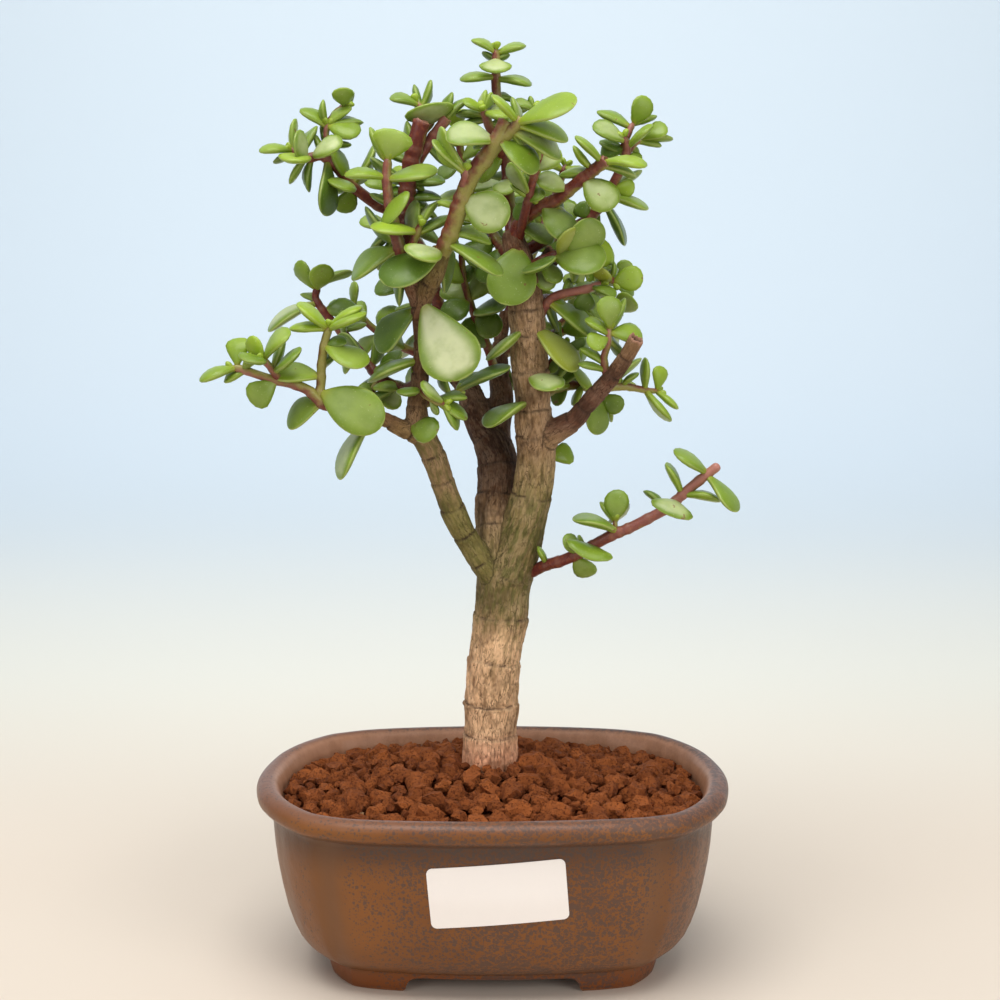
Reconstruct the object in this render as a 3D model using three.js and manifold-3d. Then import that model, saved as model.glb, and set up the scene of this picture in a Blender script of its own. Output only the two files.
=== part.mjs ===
// Dwarf jade bonsai in its pot. Millimetres, +Z up, the front of the pot towards -Y.
// The origin is at the middle of the whole object's footprint, on the surface that it stands on.
import * as THREE from 'three';
import { mergeVertices } from 'three/addons/utils/BufferGeometryUtils.js';
import Module from 'manifold-3d';

const wasm = await Module();
wasm.setup();

// ---------------------------------------------------------------- driving dimensions
const GAP = 0.3; // clearance between pieces that touch
const SLIVER = 0.1; // finer edges than this are smoothed away after a cut
const POT_PLACE = new THREE.Vector3(6.5, 0, 0); // the pot's middle, seen from the origin

// Pot: plan of the lip from the middle of the right end to the middle of the back.
const LIP_PLAN = [[75, 0], [73.6, 14], [70, 27], [62, 39.5], [52, 47.5], [33, 52.5], [0, 54.8]];
const POT_SIDES = 32;
const LIP_HEIGHT = 61;
const FOOT_HEIGHT = 5;
const FLOOR_TOP = 10.5;
const HALF_LENGTH = LIP_PLAN[0][0];
// Outside of the wall, as [how far inside the lip, height], from the waist up to the lip.
const OUTER_WALL = [
  [21.2, 6.4], [17.5, 8.4], [12.4, 13.5], [8.9, 22.5], [6.2, 36], [4.9, 52.6],
];
const LIP_ROLL = [[0.5, 54.8], [0, 58], [1.8, 60.5], [4, LIP_HEIGHT], [6.4, 60]];
const INNER_WALL = [[7.8, 56.8], [9.4, 42], [14.4, 20], [20.5, FLOOR_TOP]];
const UNDERSIDE_EDGE = [24, FOOT_HEIGHT];
const FOOT_OUTER = [[22.6, 0], [21.2, FOOT_HEIGHT]];
const FOOT_INNER_INSET = 30;
const FOOT_TOP = FOOT_HEIGHT + 1.6; // the feet reach into the bowl's wall
const FOOT_CUT_LONG = 27; // half the gap between the feet along the front
const FOOT_CUT_SHORT = 13; // half the gap between the feet along an end
const FOOT_CUT_SLOPE = 3.5;
const DRAIN_RADIUS = 7;
const DRAIN_PLACE = 28; // along the pot, to each side of its middle

const MESH_SIZE = 19;
const MESH_THICKNESS = 1;
const MESH_CELLS = 3;
const MESH_CELL_SIZE = 3.6;

const SOIL_MIDDLE = 61.6; // top of the soil at the trunk
const SOIL_FALL = 7.4; // how much lower it lies at the wall
const GRAIN_PITCH = 7.3;
const GRAIN_HEIGHT = 2.6;
const GRAIN_SHIFT = 0.9; // how far a grain lies off the even pattern
const GRAIN_UNEVEN = 0.7;

const LABEL_WIDTH = 41;
const LABEL_HEIGHT = 19.5;
const LABEL_CORNER = 1.8;
const LABEL_THICKNESS = 0.7;
const LABEL_PLACE = new THREE.Vector3(1.6, 0, 38);
const LABEL_TILT = 4.6;

// Wood, each limb as points [x, y, z, radius] seen from the middle of the pot's foot.
const WOOD = [
  { // trunk and the main upright
    sides: 9,
    route: [
      [-1, 6, 36, 8], [-1, 6, 56, 9.6], [-2, 6, 64, 9.2], [-1, 6, 75, 8.6], [0, 6, 93, 8.4],
      [2, 6, 106, 8.6], [3, 6, 116, 8.8], [4, 6, 124, 9.4], [6, 5, 133, 8.8], [10, 3, 141, 7.6],
      [13, 2, 150, 6.4], [14, 1, 159, 6.5], [14, 0, 167, 6.3], [13, -1, 175, 5.5], [12, -2, 183, 5.8],
      [11, -3, 197, 5.5], [10, -3, 209, 5.5], [10, -2, 215, 5.0], [8, 0, 222, 4.4], [6, 2, 231, 3.2],
    ],
  },
  { sides: 6, route: [[10, -2, 213, 3], [15, 1, 219, 3.2], [19, 4, 225, 3]] }, // cut snag
  { // second trunk
    sides: 8,
    route: [
      [4, 7, 126, 5], [2, 10, 137, 6.4], [1, 13, 146, 6.2], [1, 16, 157, 5.8], [-1, 18, 164, 5.5],
      [-4, 21, 170, 4.9], [-8, 26, 180, 4.2], [-13, 32, 188, 3.5], [-16, 36, 197, 2.8],
      [-17, 38, 206, 2.2],
    ],
  },
  { // its right fork
    sides: 6,
    route: [[-2, 19, 167, 4], [1, 26, 177, 3.7], [1, 31, 185, 3.1], [2, 36, 194, 2.5], [4, 40, 205, 2]],
  },
  { // left branch, up to where it forks
    sides: 8,
    route: [
      [1, 3, 121, 4], [-5, 0, 130, 4.6], [-8, -2, 136, 3.9], [-12, -5, 145, 4.1], [-15, -8, 154, 3.7],
      [-18, -10, 163, 3.9], [-21, -12, 170, 3.7], [-23, -13, 177, 3.3], [-22, -14, 186, 2.8],
      [-21, -15, 197, 2.7], [-22, -16, 209, 2.4], [-24, -17, 215, 2.4], [-26, -18, 223, 2.2],
    ],
  },
  { // front fork of the left branch
    sides: 7,
    route: [[-22, -16, 206, 2.2], [-20, -17, 213, 2.9], [-17, -20, 219, 3.1], [-15, -24, 226, 3]],
  },
  { // cut stub on the right
    sides: 8,
    route: [
      [13, 0, 165, 4], [19, -3, 170, 4.1], [25, -6, 174, 3.5], [28, -8, 178, 3.4],
      [36, -13, 188, 3], [40, -16, 194, 2.6], [43, -19, 200, 2.4],
    ],
  },
  { // low branch to the left
    sides: 6,
    route: [[-19, -11, 168, 3], [-27, -14, 172, 2.7], [-34, -17, 176, 2.2], [-43, -20, 178, 1.9]],
  },
];

// Which way the upper face of a leaf looks.
const FRONT = [0.1, -1, 0.35];
const UP = [0, -0.35, 1];
const TILTED = [0, -0.75, 0.75];
const LEFT = [-0.9, -0.35, 0.3];
const RIGHT = [0.9, -0.35, 0.3];

// Leafy shoots. Each stem has its route, its radius at root and tip, the leaf pairs that stand
// across it as [place, length, roll, lift], and single leaves as [place, reach, face, width], where
// the width may be left to the leaf's own proportion. A place counts route points; roll 0 is a pair
// side to side, 90 one to the front and back.
const SHOOTS = {
  shoot_top: [
    {
      route: [[6, 3, 228], [5, 8, 239], [4, 9, 253], [2, 7, 265], [1, 6, 274], [1, 5, 280], [1, 5, 286]],
      radius: [2.2, 1.2],
      pairs: [[5.7, 9, 90, 20], [3.3, 11, 0, 22], [2.7, 12, 90, 20], [2.2, 12, 0, 12], [1.6, 12, 90, 10]],
      leaves: [
        [5.95, [-7.5, 0, 5], UP], [5.95, [9, 0, 4.5], UP], [5, [-11, 0, 0], UP], [5, [11, -1, -1.5], UP],
      ],
    },
    {
      route: [[3, 9, 254], [0, 2, 262], [-3, -4, 267], [-4, -8, 271]],
      radius: [1.5, 1.1],
      pairs: [[3, 10, 0, 50], [2.5, 11, 90, 30], [1.8, 12, 0, 20]],
    },
    {
      route: [[4, 8, 256], [10, 4, 263], [13, 1, 268]],
      radius: [1.3, 1],
      pairs: [[2, 10, 0, 50], [1.5, 11, 90, 25], [1, 11, 0, 15]],
    },
  ],
  shoot_front_leader: [
    {
      route: [
        [-16, -22, 223], [-12, -27, 232], [-10, -30, 241], [-5, -32, 246], [-1, -34, 254],
        [2, -35, 260], [3, -35, 263],
      ],
      radius: [3, 2.4],
      leaves: [
        [0.7, [15, -4, -8], TILTED, 9], [0.9, [-9, -3, -5], TILTED], [2.4, [9, -8, -9], FRONT, 12],
        [2.2, [-12, -4, 3], FRONT, 9], [4, [-14, -4, 2], TILTED, 10], [4.1, [9, -5, -9], FRONT, 10],
      ],
    },
    {
      route: [[-7, -31, 243], [-8, -33, 247], [-8, -35, 250]],
      radius: [1.2, 0.9],
      leaves: [[2, [-8, -1, 9], FRONT], [2, [6, 2, 5], TILTED]],
    },
    {
      route: [[1, -34, 256], [5, -36, 259], [8, -38, 261], [11, -40, 263]],
      radius: [1.5, 1],
      leaves: [[2.3, [-8, 3, 9], TILTED], [2.4, [15, -2, 7], TILTED, 10], [3, [10, -2, -1], UP]],
    },
  ],
  shoot_left_leader: [
    {
      route: [
        [-26, -18, 221], [-28, -19, 230], [-29, -20, 236], [-30, -20, 243], [-31, -20, 251],
        [-31, -20, 257],
      ],
      radius: [2.2, 1.3],
      leaves: [
        [4.9, [-1, 2, 10], FRONT, 12], [4.9, [-6, 4, 6], LEFT], [4, [-14, 1, 1], UP, 9],
        [4, [14, 1, 3], UP, 9], [3, [4, -10, 0], UP], [3, [-4, 10, 4], UP],
        [1.3, [-9, -7, -10], FRONT, 12], [1.2, [-11, 3, -6], TILTED], [2.1, [-8, 9, -9], FRONT],
      ],
    },
    {
      route: [[-26, -18, 225], [-22, -24, 232], [-21, -27, 236]],
      radius: [1.3, 1],
      leaves: [[2, [-12, -3, 1], TILTED], [2, [-4, 0, 8], FRONT], [1.9, [7, 0, 8], TILTED]],
    },
    {
      route: [[-26, -17, 224], [-27, -12, 235], [-25, -10, 244], [-24, -8, 252], [-21, -8, 264]],
      radius: [2.4, 2.2],
      pairs: [[2.9, 12, 90, 10], [1.9, 12, 0, 10]],
      leaves: [[3.8, [1, -8, 2], UP, 12]],
    },
    {
      route: [[-24, -8, 254], [-22, -1, 263], [-22, 3, 269], [-22, 5, 273]],
      radius: [1.2, 0.9],
      pairs: [[3, 8, 0, 45], [2.4, 9, 90, 30], [1.8, 10, 0, 15]],
    },
  ],
  shoot_left_upper: [
    {
      route: [
        [-17, 37, 203], [-21, 28, 221], [-25, 14, 234], [-30, 8, 241], [-38, 5, 244], [-47, 0, 250],
        [-54, -3, 255], [-59, -4, 256], [-65, -5, 258],
      ],
      radius: [2.2, 1.2],
      pairs: [
        [7.9, 9, 0, 50], [7.4, 9, 90, 40], [6.8, 10, 0, 25], [6.2, 10, 90, 25], [5.6, 11, 0, 20],
        [4.8, 12, 90, 15], [4.1, 13, 0, 15], [3.3, 13, 90, 10], [2.5, 13, 0, 10], [1.6, 12, 90, 10],
      ],
      leaves: [[5.1, [3, -4, -15], FRONT, 8]],
    },
    {
      route: [[-46, 0, 249], [-49, 0, 256], [-50, 0, 260], [-50, 1, 265], [-47, 4, 269], [-44, 8, 273]],
      radius: [1.3, 0.9],
      pairs: [[4.9, 9, 0, 45], [4.2, 9, 90, 30], [3.4, 9, 0, 25], [2.7, 10, 90, 20], [1.9, 10, 0, 20]],
    },
  ],
  shoot_left_low: [
    {
      route: [
        [-42, -20, 178], [-51, -22, 182], [-58, -24, 186], [-68, -25, 188], [-73, -25, 190],
        [-79, -25, 191],
      ],
      radius: [1.8, 1.1],
      leaves: [
        [1, [18, -9, -7], FRONT, 14], [1, [-10, -7, -10], FRONT, 11], [2.6, [1, -3, -9], FRONT, 10],
        [1.5, [-12, -4, 3], TILTED], [3, [8, 4, 7], TILTED], [4.9, [-1, 3, 8], FRONT, 8],
        [4.9, [-9, -2, -5], TILTED], [3.8, [-9, -5, -4], TILTED], [3.9, [4, 9, 3], UP],
      ],
    },
    {
      route: [[-62, -24, 187], [-65, -28, 192], [-68, -30, 196]],
      radius: [1.1, 0.9],
      leaves: [[2, [9, -1, 7], TILTED], [2, [0, 3, 7], FRONT], [2, [-8, -1, 3], TILTED]],
    },
    {
      route: [[-51, -22, 181], [-51, -22, 191], [-50, -22, 196], [-49, -22, 200], [-48, -22, 206]],
      radius: [1.5, 1],
      pairs: [[3.4, 9, 90, 20]],
      leaves: [
        [4, [-12, -1, 1], UP], [4, [11, 1, 5], UP], [3.9, [-8, 4, 6], TILTED],
        [2.4, [12, -3, -6], TILTED], [2.4, [-9, 4, 2], UP],
      ],
    },
  ],
  shoot_left_mid: [
    {
      route: [
        [-22, -13, 186], [-28, 0, 186], [-37, 10, 189], [-40, 12, 194], [-47, 15, 198], [-52, 16, 202],
        [-56, 17, 206], [-56, 17, 211], [-55, 17, 217],
      ],
      radius: [1.8, 1.1],
      pairs: [[7.3, 9, 90, 30], [4.4, 11, 0, 10], [3.2, 12, 90, 10], [2.2, 12, 0, 10], [1.3, 12, 90, 10]],
      leaves: [
        [7.9, [-6, 1, 8], TILTED], [7.9, [3, -2, 8], FRONT], [7.6, [8, 2, 3], UP],
        [6.2, [-12, -2, -4], TILTED], [6.2, [12, 0, 1], UP],
      ],
    },
  ],
  shoot_branch_front: [
    {
      route: [[-22, -14, 184], [-18, -19, 184], [-15, -23, 185]],
      radius: [1.3, 1],
      leaves: [[2, [9, -3, -7], TILTED], [1.9, [9, 2, 1], UP], [2, [-5, -3, 7], FRONT]],
    },
  ],
  shoot_branch_inner: [
    {
      route: [[-22, -12, 179], [-16, -8, 180], [-10, -6, 182]],
      radius: [1.3, 1],
      leaves: [[2, [2, -3, 11], FRONT], [1.8, [3, -10, -4], TILTED], [2, [-4, 8, 4], TILTED]],
    },
  ],
  shoot_right_upper: [
    {
      route: [[6, 1, 227], [13, -3, 236], [18, -8, 240], [24, -12, 243], [27, -14, 246], [33, -17, 251]],
      radius: [2.2, 1.7],
      leaves: [
        [2, [-9, -4, 4], TILTED], [3, [-9, 2, 5], TILTED], [2.9, [3, -9, -6], FRONT, 9],
        [4.9, [-8, 0, 9], TILTED, 7], [5, [12, -1, 1], UP, 9], [4.8, [7, -8, -2], TILTED],
        [4.1, [1, -7, -8], FRONT, 10], [4.9, [-3, 7, 7], TILTED], [2, [4, 6, 6], TILTED],
      ],
    },
    {
      route: [[8, 0, 229], [10, -8, 238], [12, -13, 246], [14, -15, 253], [15, -16, 260]],
      radius: [1.5, 1],
      pairs: [[4, 10, 0, 50], [3.4, 11, 90, 30], [2.8, 12, 0, 20], [2.1, 12, 90, 10]],
    },
  ],
  shoot_right_top: [
    {
      route: [[8, 0, 224], [21, 10, 232], [30, 8, 235], [34, 6, 239], [37, 3, 246], [41, 0, 255], [42, 0, 261]],
      radius: [2, 1.2],
      pairs: [[5.2, 11, 90, 25], [2.9, 12, 90, 10], [2.0, 12, 0, 10], [1.2, 12, 90, 10]],
      leaves: [
        [6, [3, -1, 8], FRONT], [6, [-9, 1, 5], UP], [5.4, [-9, -4, 3], TILTED],
        [5.8, [11, -3, 1], TILTED], [5.5, [7, 3, 7], TILTED], [4.2, [10, -3, -3], TILTED],
        [3.5, [7, 1, -11], RIGHT], [4.1, [-8, 2, 5], TILTED],
      ],
    },
  ],
  shoot_right_mid: [
    {
      route: [[10, -1, 219], [18, -5, 225], [26, -7, 227], [34, -7, 225], [41, -5, 221]],
      radius: [1.9, 1.2],
      leaves: [
        [0.9, [3, -8, 8], FRONT, 11], [1.9, [4, -7, 8], FRONT, 10], [1.5, [13, -9, -6], FRONT, 12],
        [2.9, [3, -7, -10], FRONT, 11], [4, [8, -3, -4], TILTED], [3.4, [-3, -4, -12], FRONT, 9],
        [1.1, [-1, -5, -12], FRONT, 10], [3.9, [2, 8, 5], UP], [3, [2, 4, 10], TILTED],
      ],
    },
  ],
  shoot_right_low: [
    {
      route: [[13, -2, 201], [21, -5, 202], [29, -6, 203], [37, -5, 206], [43, -3, 211]],
      radius: [1.8, 1.1],
      pairs: [[4, 11, 0, 45], [3.4, 11, 90, 30], [2.6, 12, 0, 15], [1.8, 13, 90, 10], [1.1, 13, 0, 10]],
    },
  ],
  shoot_right_back_high: [
    {
      route: [[11, 1, 210], [17, 12, 210], [24, 20, 211], [33, 27, 214], [42, 32, 218], [48, 34, 225]],
      radius: [1.9, 1.1],
      pairs: [
        [5, 10, 0, 50], [4.5, 11, 90, 35], [3.9, 12, 0, 25], [3.2, 12, 90, 15], [2.5, 13, 0, 10],
        [1.7, 13, 90, 10],
      ],
    },
  ],
  shoot_right_back_mid: [
    {
      route: [[12, 0, 198], [19, 13, 199], [27, 22, 201], [36, 28, 203], [45, 31, 207]],
      radius: [1.8, 1.1],
      pairs: [[4, 11, 90, 50], [3.5, 11, 0, 30], [2.8, 12, 90, 20], [2.1, 13, 0, 10], [1.4, 13, 90, 10]],
    },
  ],
  shoot_right_back_low: [
    {
      route: [[13, 0, 180], [20, 8, 183], [28, 13, 183], [35, 16, 179], [39, 17, 173]],
      radius: [1.7, 1.1],
      pairs: [[4, 11, 0, 45], [3.3, 12, 90, 25]],
      leaves: [
        [1.2, [4, -4, -11], FRONT, 10], [1.3, [-2, -3, 11], FRONT, 10], [2.2, [3, -4, -12], FRONT, 11],
        [2.3, [2, -3, 11], FRONT, 9], [3.1, [9, -4, 7], FRONT, 9], [3.2, [-6, -3, -10], FRONT, 9],
      ],
    },
  ],
  shoot_stub_upright: [
    {
      route: [[35, -12, 186], [34, -13, 193], [35, -14, 200], [35, -14, 205]],
      radius: [1.2, 0.9],
      leaves: [
        [1.1, [-3, -3, 7], FRONT, 7.5], [1.2, [-6, 5, 3], UP], [3, [-1, 0, 8.5], FRONT],
        [2.8, [9, -2, 2], TILTED], [2.8, [-7, 2, 3], TILTED],
      ],
    },
  ],
  shoot_stub_right: [
    {
      route: [[33, -10, 184], [39, -7, 184], [46, -4, 182], [52, -2, 183]],
      radius: [1.1, 0.8],
      leaves: [
        [2.1, [-2, 1, 9], RIGHT], [3, [3, -1, 8], TILTED], [3, [6, -1, -4], TILTED, 4.5],
        [2.1, [6, -2, -9], RIGHT], [0.7, [3, -3, 7], RIGHT, 5],
      ],
    },
  ],
  shoot_lower_right: [
    {
      route: [
        [9, 3, 124], [13, -1, 126], [19, -5, 129], [26, -7, 133], [31, -9, 136], [36, -10, 139],
        [44, -12, 144], [51, -13, 148], [56, -14, 151], [61, -15, 155], [68, -15, 161],
      ],
      radius: [1.8, 1.4],
      leaves: [
        [3.3, [4, -12, -1], UP], [3.3, [-4, 11, 3], UP], [3.4, [3, -3, -7], FRONT],
        [5.1, [-12, -3, 4], UP, 7], [5.1, [1, -1, 11], FRONT, 7.5], [7.4, [-4, 3, 5], TILTED],
        [7.4, [9, -7, -4], TILTED], [8.6, [-5, 1, 10], LEFT], [8.6, [12, 1, 0], UP, 7],
        [9.5, [-9, 1, 8], TILTED], [9.6, [8, -1, -9], RIGHT],
      ],
    },
  ],
  shoot_back_left_tip: [
    {
      route: [[-16, 36, 195], [-24, 41, 208], [-30, 41, 221], [-33, 38, 234], [-34, 36, 245]],
      radius: [1.8, 1.1],
      pairs: [
        [4, 9, 0, 50], [3.5, 10, 90, 30], [2.9, 11, 0, 20], [2.2, 12, 90, 15], [1.5, 12, 0, 10],
        [0.9, 12, 90, 10],
      ],
    },
  ],
  shoot_back_right_tip: [
    {
      route: [[4, 39, 202], [8, 42, 212], [12, 44, 224], [14, 43, 236], [13, 39, 247]],
      radius: [1.8, 1.1],
      pairs: [
        [4, 9, 90, 50], [3.5, 10, 0, 30], [2.9, 11, 90, 20], [2.2, 12, 0, 15], [1.5, 12, 90, 10],
        [0.8, 12, 0, 10],
      ],
    },
  ],
  shoot_crown_right: [
    {
      route: [[9, 0, 215], [13, 14, 227], [19, 23, 240], [23, 25, 252], [24, 24, 262]],
      radius: [1.9, 1.1],
      pairs: [
        [4, 9, 0, 50], [3.5, 10, 90, 30], [2.9, 11, 0, 20], [2.2, 12, 90, 15], [1.5, 13, 0, 10],
        [0.9, 13, 90, 10],
      ],
    },
  ],
  shoot_crown_left: [
    {
      route: [[8, 1, 219], [0, 15, 230], [-7, 24, 242], [-10, 26, 254], [-11, 25, 263]],
      radius: [1.9, 1.1],
      pairs: [
        [4, 9, 90, 50], [3.5, 10, 0, 30], [2.9, 11, 90, 20], [2.2, 12, 0, 15], [1.5, 13, 90, 10],
        [0.9, 13, 0, 10],
      ],
    },
  ],
  shoot_inner_back: [
    {
      route: [[1, 30, 184], [-2, 24, 195], [-6, 20, 205], [-9, 17, 215], [-10, 14, 225]],
      radius: [1.6, 1],
      pairs: [[4, 11, 0, 50], [3.3, 12, 90, 30], [2.5, 13, 0, 15], [1.7, 13, 90, 10]],
      leaves: [
        [1.1, [-12, -7, 5], FRONT, 9], [1.9, [11, -7, -6], FRONT, 9], [0.7, [9, -9, -4], TILTED],
        [2.9, [-13, -5, -6], FRONT, 10],
      ],
    },
  ],
  shoot_back_left_low: [
    {
      route: [[-12, 30, 187], [-21, 35, 190], [-31, 38, 194], [-40, 38, 200], [-46, 36, 207]],
      radius: [1.7, 1],
      pairs: [[4, 9, 0, 50], [3.4, 10, 90, 30], [2.7, 11, 0, 20], [1.9, 12, 90, 10], [1.2, 12, 0, 10]],
    },
  ],
  shoot_back_right_low: [
    {
      route: [[2, 34, 191], [11, 40, 194], [20, 44, 199], [28, 45, 206], [33, 43, 214]],
      radius: [1.7, 1],
      pairs: [[4, 9, 90, 50], [3.4, 10, 0, 30], [2.7, 11, 90, 20], [1.9, 12, 0, 10], [1.2, 12, 90, 10]],
    },
  ],
};

// Leaves that grow straight from the wood, as root, reach, face and width.
const SINGLE_LEAVES = {
  leaf_big_pale: [[-21, -17, 211], [17, -18, -20], FRONT, 18.5],
  leaf_centre: [[8, -1, 227], [-5, -16, -20], FRONT, 14],
  leaf_hanging: [[-36, -17, 176], [-10, -5, -20], FRONT, 7],
  leaf_fork: [[-25, -14, 173], [8, -11, -4], FRONT, 9],
  leaf_behind_fork: [[-22, -15, 209], [-17, 9, -14], FRONT, 13],
  leaf_branch_left: [[-21, -15, 193], [-16, 3, -6], TILTED, 8],
  leaf_trunk_right: [[11, -4, 187], [10, -13, -1], TILTED, 9],
  leaf_trunk_left: [[11, -2, 179], [-11, -12, -7], TILTED, 9],
  leaf_trunk_high: [[10, -3, 202], [-12, -8, -8], TILTED, 8],
  leaf_trunk_yellow: [[12, -3, 203], [13, -8, -14], RIGHT, 9],
};

// Leaf outlines as [part of the length, half width, half thickness]. A large leaf is a lens across,
// a small one is flat above with a keel below.
const LARGE_LEAF = {
  across: 4,
  rows: [[0, 0, 0], [0.3, 0.58, 0.75], [0.66, 1, 1], [0.91, 0.68, 0.62], [1, 0, 0]],
};
const SMALL_LEAF = { across: 3, rows: [[0, 0, 0], [0.42, 0.86, 1], [0.83, 0.84, 0.85], [1, 0, 0]] };
const LARGE_LENGTH = 12.5;
const LEAF_WIDTH_TO_LENGTH = 0.76;
const LEAF_CUP = 0.05;
// Leaves turn their faces to the light: outwards from the crown's middle, upwards and to the front.
const CROWN_MIDDLE = new THREE.Vector3(0, 8, 212);
const CROWN_REACH = 80;
const LIGHT = new THREE.Vector3(0, -1.5, 0.4);
const LIGHT_PULL = 1;
const LENGTH_VARIES = 0.08;
const ANGLE_VARIES = 9;
const TWIST_VARIES = 14;
const LEAF_CLEAR = 0.45; // air between the faces of neighbouring leaves
// Turns that bring a leaf clear of its neighbours, as [lift, swing], tried in this order.
const CLEAR_TURNS = [
  [0, 0], [14, 0], [-14, 0], [0, 18], [0, -18], [28, 0], [-28, 0], [0, 34], [0, -34],
  [22, 24], [22, -24], [-22, 24], [-22, -24], [42, 0], [-42, 0], [36, 40], [36, -40],
];
const CLEAR_SIZES = [1, 0.8];
const STEM_SIDES = 4;
const ROOT_SINK = 0.9;

// ---------------------------------------------------------------- small helpers
const vec = (p) => new THREE.Vector3(p[0], p[1], p[2]);
const radians = (degrees) => (degrees * Math.PI) / 180;

let drawSeed = 20240;
function draw() { // an even random number from -1 to 1, the same on every run
  drawSeed = (drawSeed * 16807) % 2147483647;
  return (2 * drawSeed) / 2147483647 - 1;
}

function solidOf(geometry) {
  const bare = geometry.clone();
  bare.deleteAttribute('normal');
  bare.deleteAttribute('uv');
  const merged = mergeVertices(bare, 1e-4);
  return new wasm.Manifold(new wasm.Mesh({
    numProp: 3,
    vertProperties: new Float32Array(merged.attributes.position.array),
    triVerts: new Uint32Array(merged.index.array),
  }));
}

function geometryOf(solid) {
  const mesh = solid.getMesh();
  const geometry = new THREE.BufferGeometry();
  geometry.setAttribute('position', new THREE.BufferAttribute(mesh.vertProperties, 3));
  geometry.setIndex(new THREE.BufferAttribute(mesh.triVerts, 1));
  geometry.computeVertexNormals();
  return geometry;
}

const joined = (solids) => solids.reduce((whole, solid) => whole.add(solid));

function largestPiece(solid) { // without the slivers and scraps that joining and cutting leave
  const pieces = solid.simplify(SLIVER).decompose();
  return pieces.reduce((best, piece) => (piece.volume() > best.volume() ? piece : best));
}

// ---------------------------------------------------------------- pot, drain meshes, soil, label
const lipCurve = new THREE.CatmullRomCurve3(
  [[1, 1], [-1, 1], [-1, -1], [1, -1]].flatMap(([sx, sy]) => {
    const corner = LIP_PLAN.map(([x, y]) => new THREE.Vector3(sx * x, sy * y, 0));
    return (sx * sy > 0 ? corner : corner.reverse()).slice(0, -1);
  }),
  true, 'catmullrom', 0.5,
);

function planPoint(turn, inset) { // on the lip's plan, moved inwards
  const point = lipCurve.getPoint(turn % 1);
  const along = lipCurve.getTangent(turn % 1);
  return new THREE.Vector2(point.x - along.y * inset, point.y + along.x * inset);
}

function potShape(profile) { // a lathe form of [inset, height] points, fitted to the lip's plan
  const points = profile.map(([inset, z]) => new THREE.Vector2(HALF_LENGTH - inset, z));
  const lathe = new THREE.LatheGeometry(points, POT_SIDES);
  const position = lathe.attributes.position;
  for (let i = 0; i < position.count; i += 1) {
    const [inset, z] = profile[i % profile.length];
    const turn = Math.floor(i / profile.length) / POT_SIDES;
    const plan = inset === HALF_LENGTH ? new THREE.Vector2() : planPoint(turn, inset);
    position.setXYZ(i, plan.x, plan.y, z);
  }
  return solidOf(lathe);
}

function footCut(halfGap, depth) { // the arched gap between two feet, running through the pot
  const shape = new THREE.Shape();
  shape.moveTo(-halfGap - 1, -1);
  shape.lineTo(halfGap + 1, -1);
  shape.lineTo(halfGap, 1);
  shape.quadraticCurveTo(halfGap - 0.5, FOOT_HEIGHT * 0.8, halfGap - FOOT_CUT_SLOPE, FOOT_HEIGHT + 1);
  shape.lineTo(-halfGap + FOOT_CUT_SLOPE, FOOT_HEIGHT + 1);
  shape.quadraticCurveTo(-halfGap + 0.5, FOOT_HEIGHT * 0.8, -halfGap, 1);
  const cut = new THREE.ExtrudeGeometry(shape, { depth, bevelEnabled: false, curveSegments: 3 });
  return cut.rotateX(Math.PI / 2).translate(0, depth / 2, 0);
}

function makePot() {
  const bowl = potShape([
    [HALF_LENGTH, FOOT_HEIGHT], UNDERSIDE_EDGE, ...OUTER_WALL, ...LIP_ROLL, ...INNER_WALL,
    [HALF_LENGTH, FLOOR_TOP],
  ]);
  const footRing = potShape([
    ...FOOT_OUTER, [FOOT_OUTER[1][0], FOOT_TOP], [FOOT_INNER_INSET, FOOT_TOP],
    [FOOT_INNER_INSET, 0], FOOT_OUTER[0],
  ]);
  const feet = footRing
    .subtract(solidOf(footCut(FOOT_CUT_LONG, 200)))
    .subtract(solidOf(footCut(FOOT_CUT_SHORT, 200).rotateZ(Math.PI / 2)));
  const drains = [-1, 1].map((side) => solidOf(
    new THREE.CylinderGeometry(DRAIN_RADIUS, DRAIN_RADIUS, 30, 16)
      .rotateX(Math.PI / 2).translate(side * DRAIN_PLACE, 0, FLOOR_TOP),
  ));
  return largestPiece(bowl.add(feet).subtract(joined(drains)));
}

function makeDrainMesh(side) {
  const plate = solidOf(new THREE.BoxGeometry(MESH_SIZE, MESH_SIZE, MESH_THICKNESS));
  const cells = [];
  for (let i = 0; i < MESH_CELLS * MESH_CELLS; i += 1) {
    const x = ((i % MESH_CELLS) - (MESH_CELLS - 1) / 2) * (MESH_SIZE / MESH_CELLS);
    const y = (Math.floor(i / MESH_CELLS) - (MESH_CELLS - 1) / 2) * (MESH_SIZE / MESH_CELLS);
    cells.push(solidOf(new THREE.BoxGeometry(MESH_CELL_SIZE, MESH_CELL_SIZE, 5).translate(x, y, 0)));
  }
  return plate.subtract(joined(cells))
    .translate([side * DRAIN_PLACE, 0, FLOOR_TOP + GAP + MESH_THICKNESS / 2]);
}

function soilHeight(x, y) { // the smooth mound below the grains
  const reach = Math.hypot(x / 66, (y - 6) / 46);
  return SOIL_MIDDLE - SOIL_FALL * Math.min(1, reach) ** 1.5;
}

// Grains as a honeycomb of uneven bumps: a cell's middle stands high and its six corners lie low.
const CELL_CORNERS = [[1, 1], [0, 2], [-1, 1], [-1, -1], [0, -2], [1, -1]];

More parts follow.
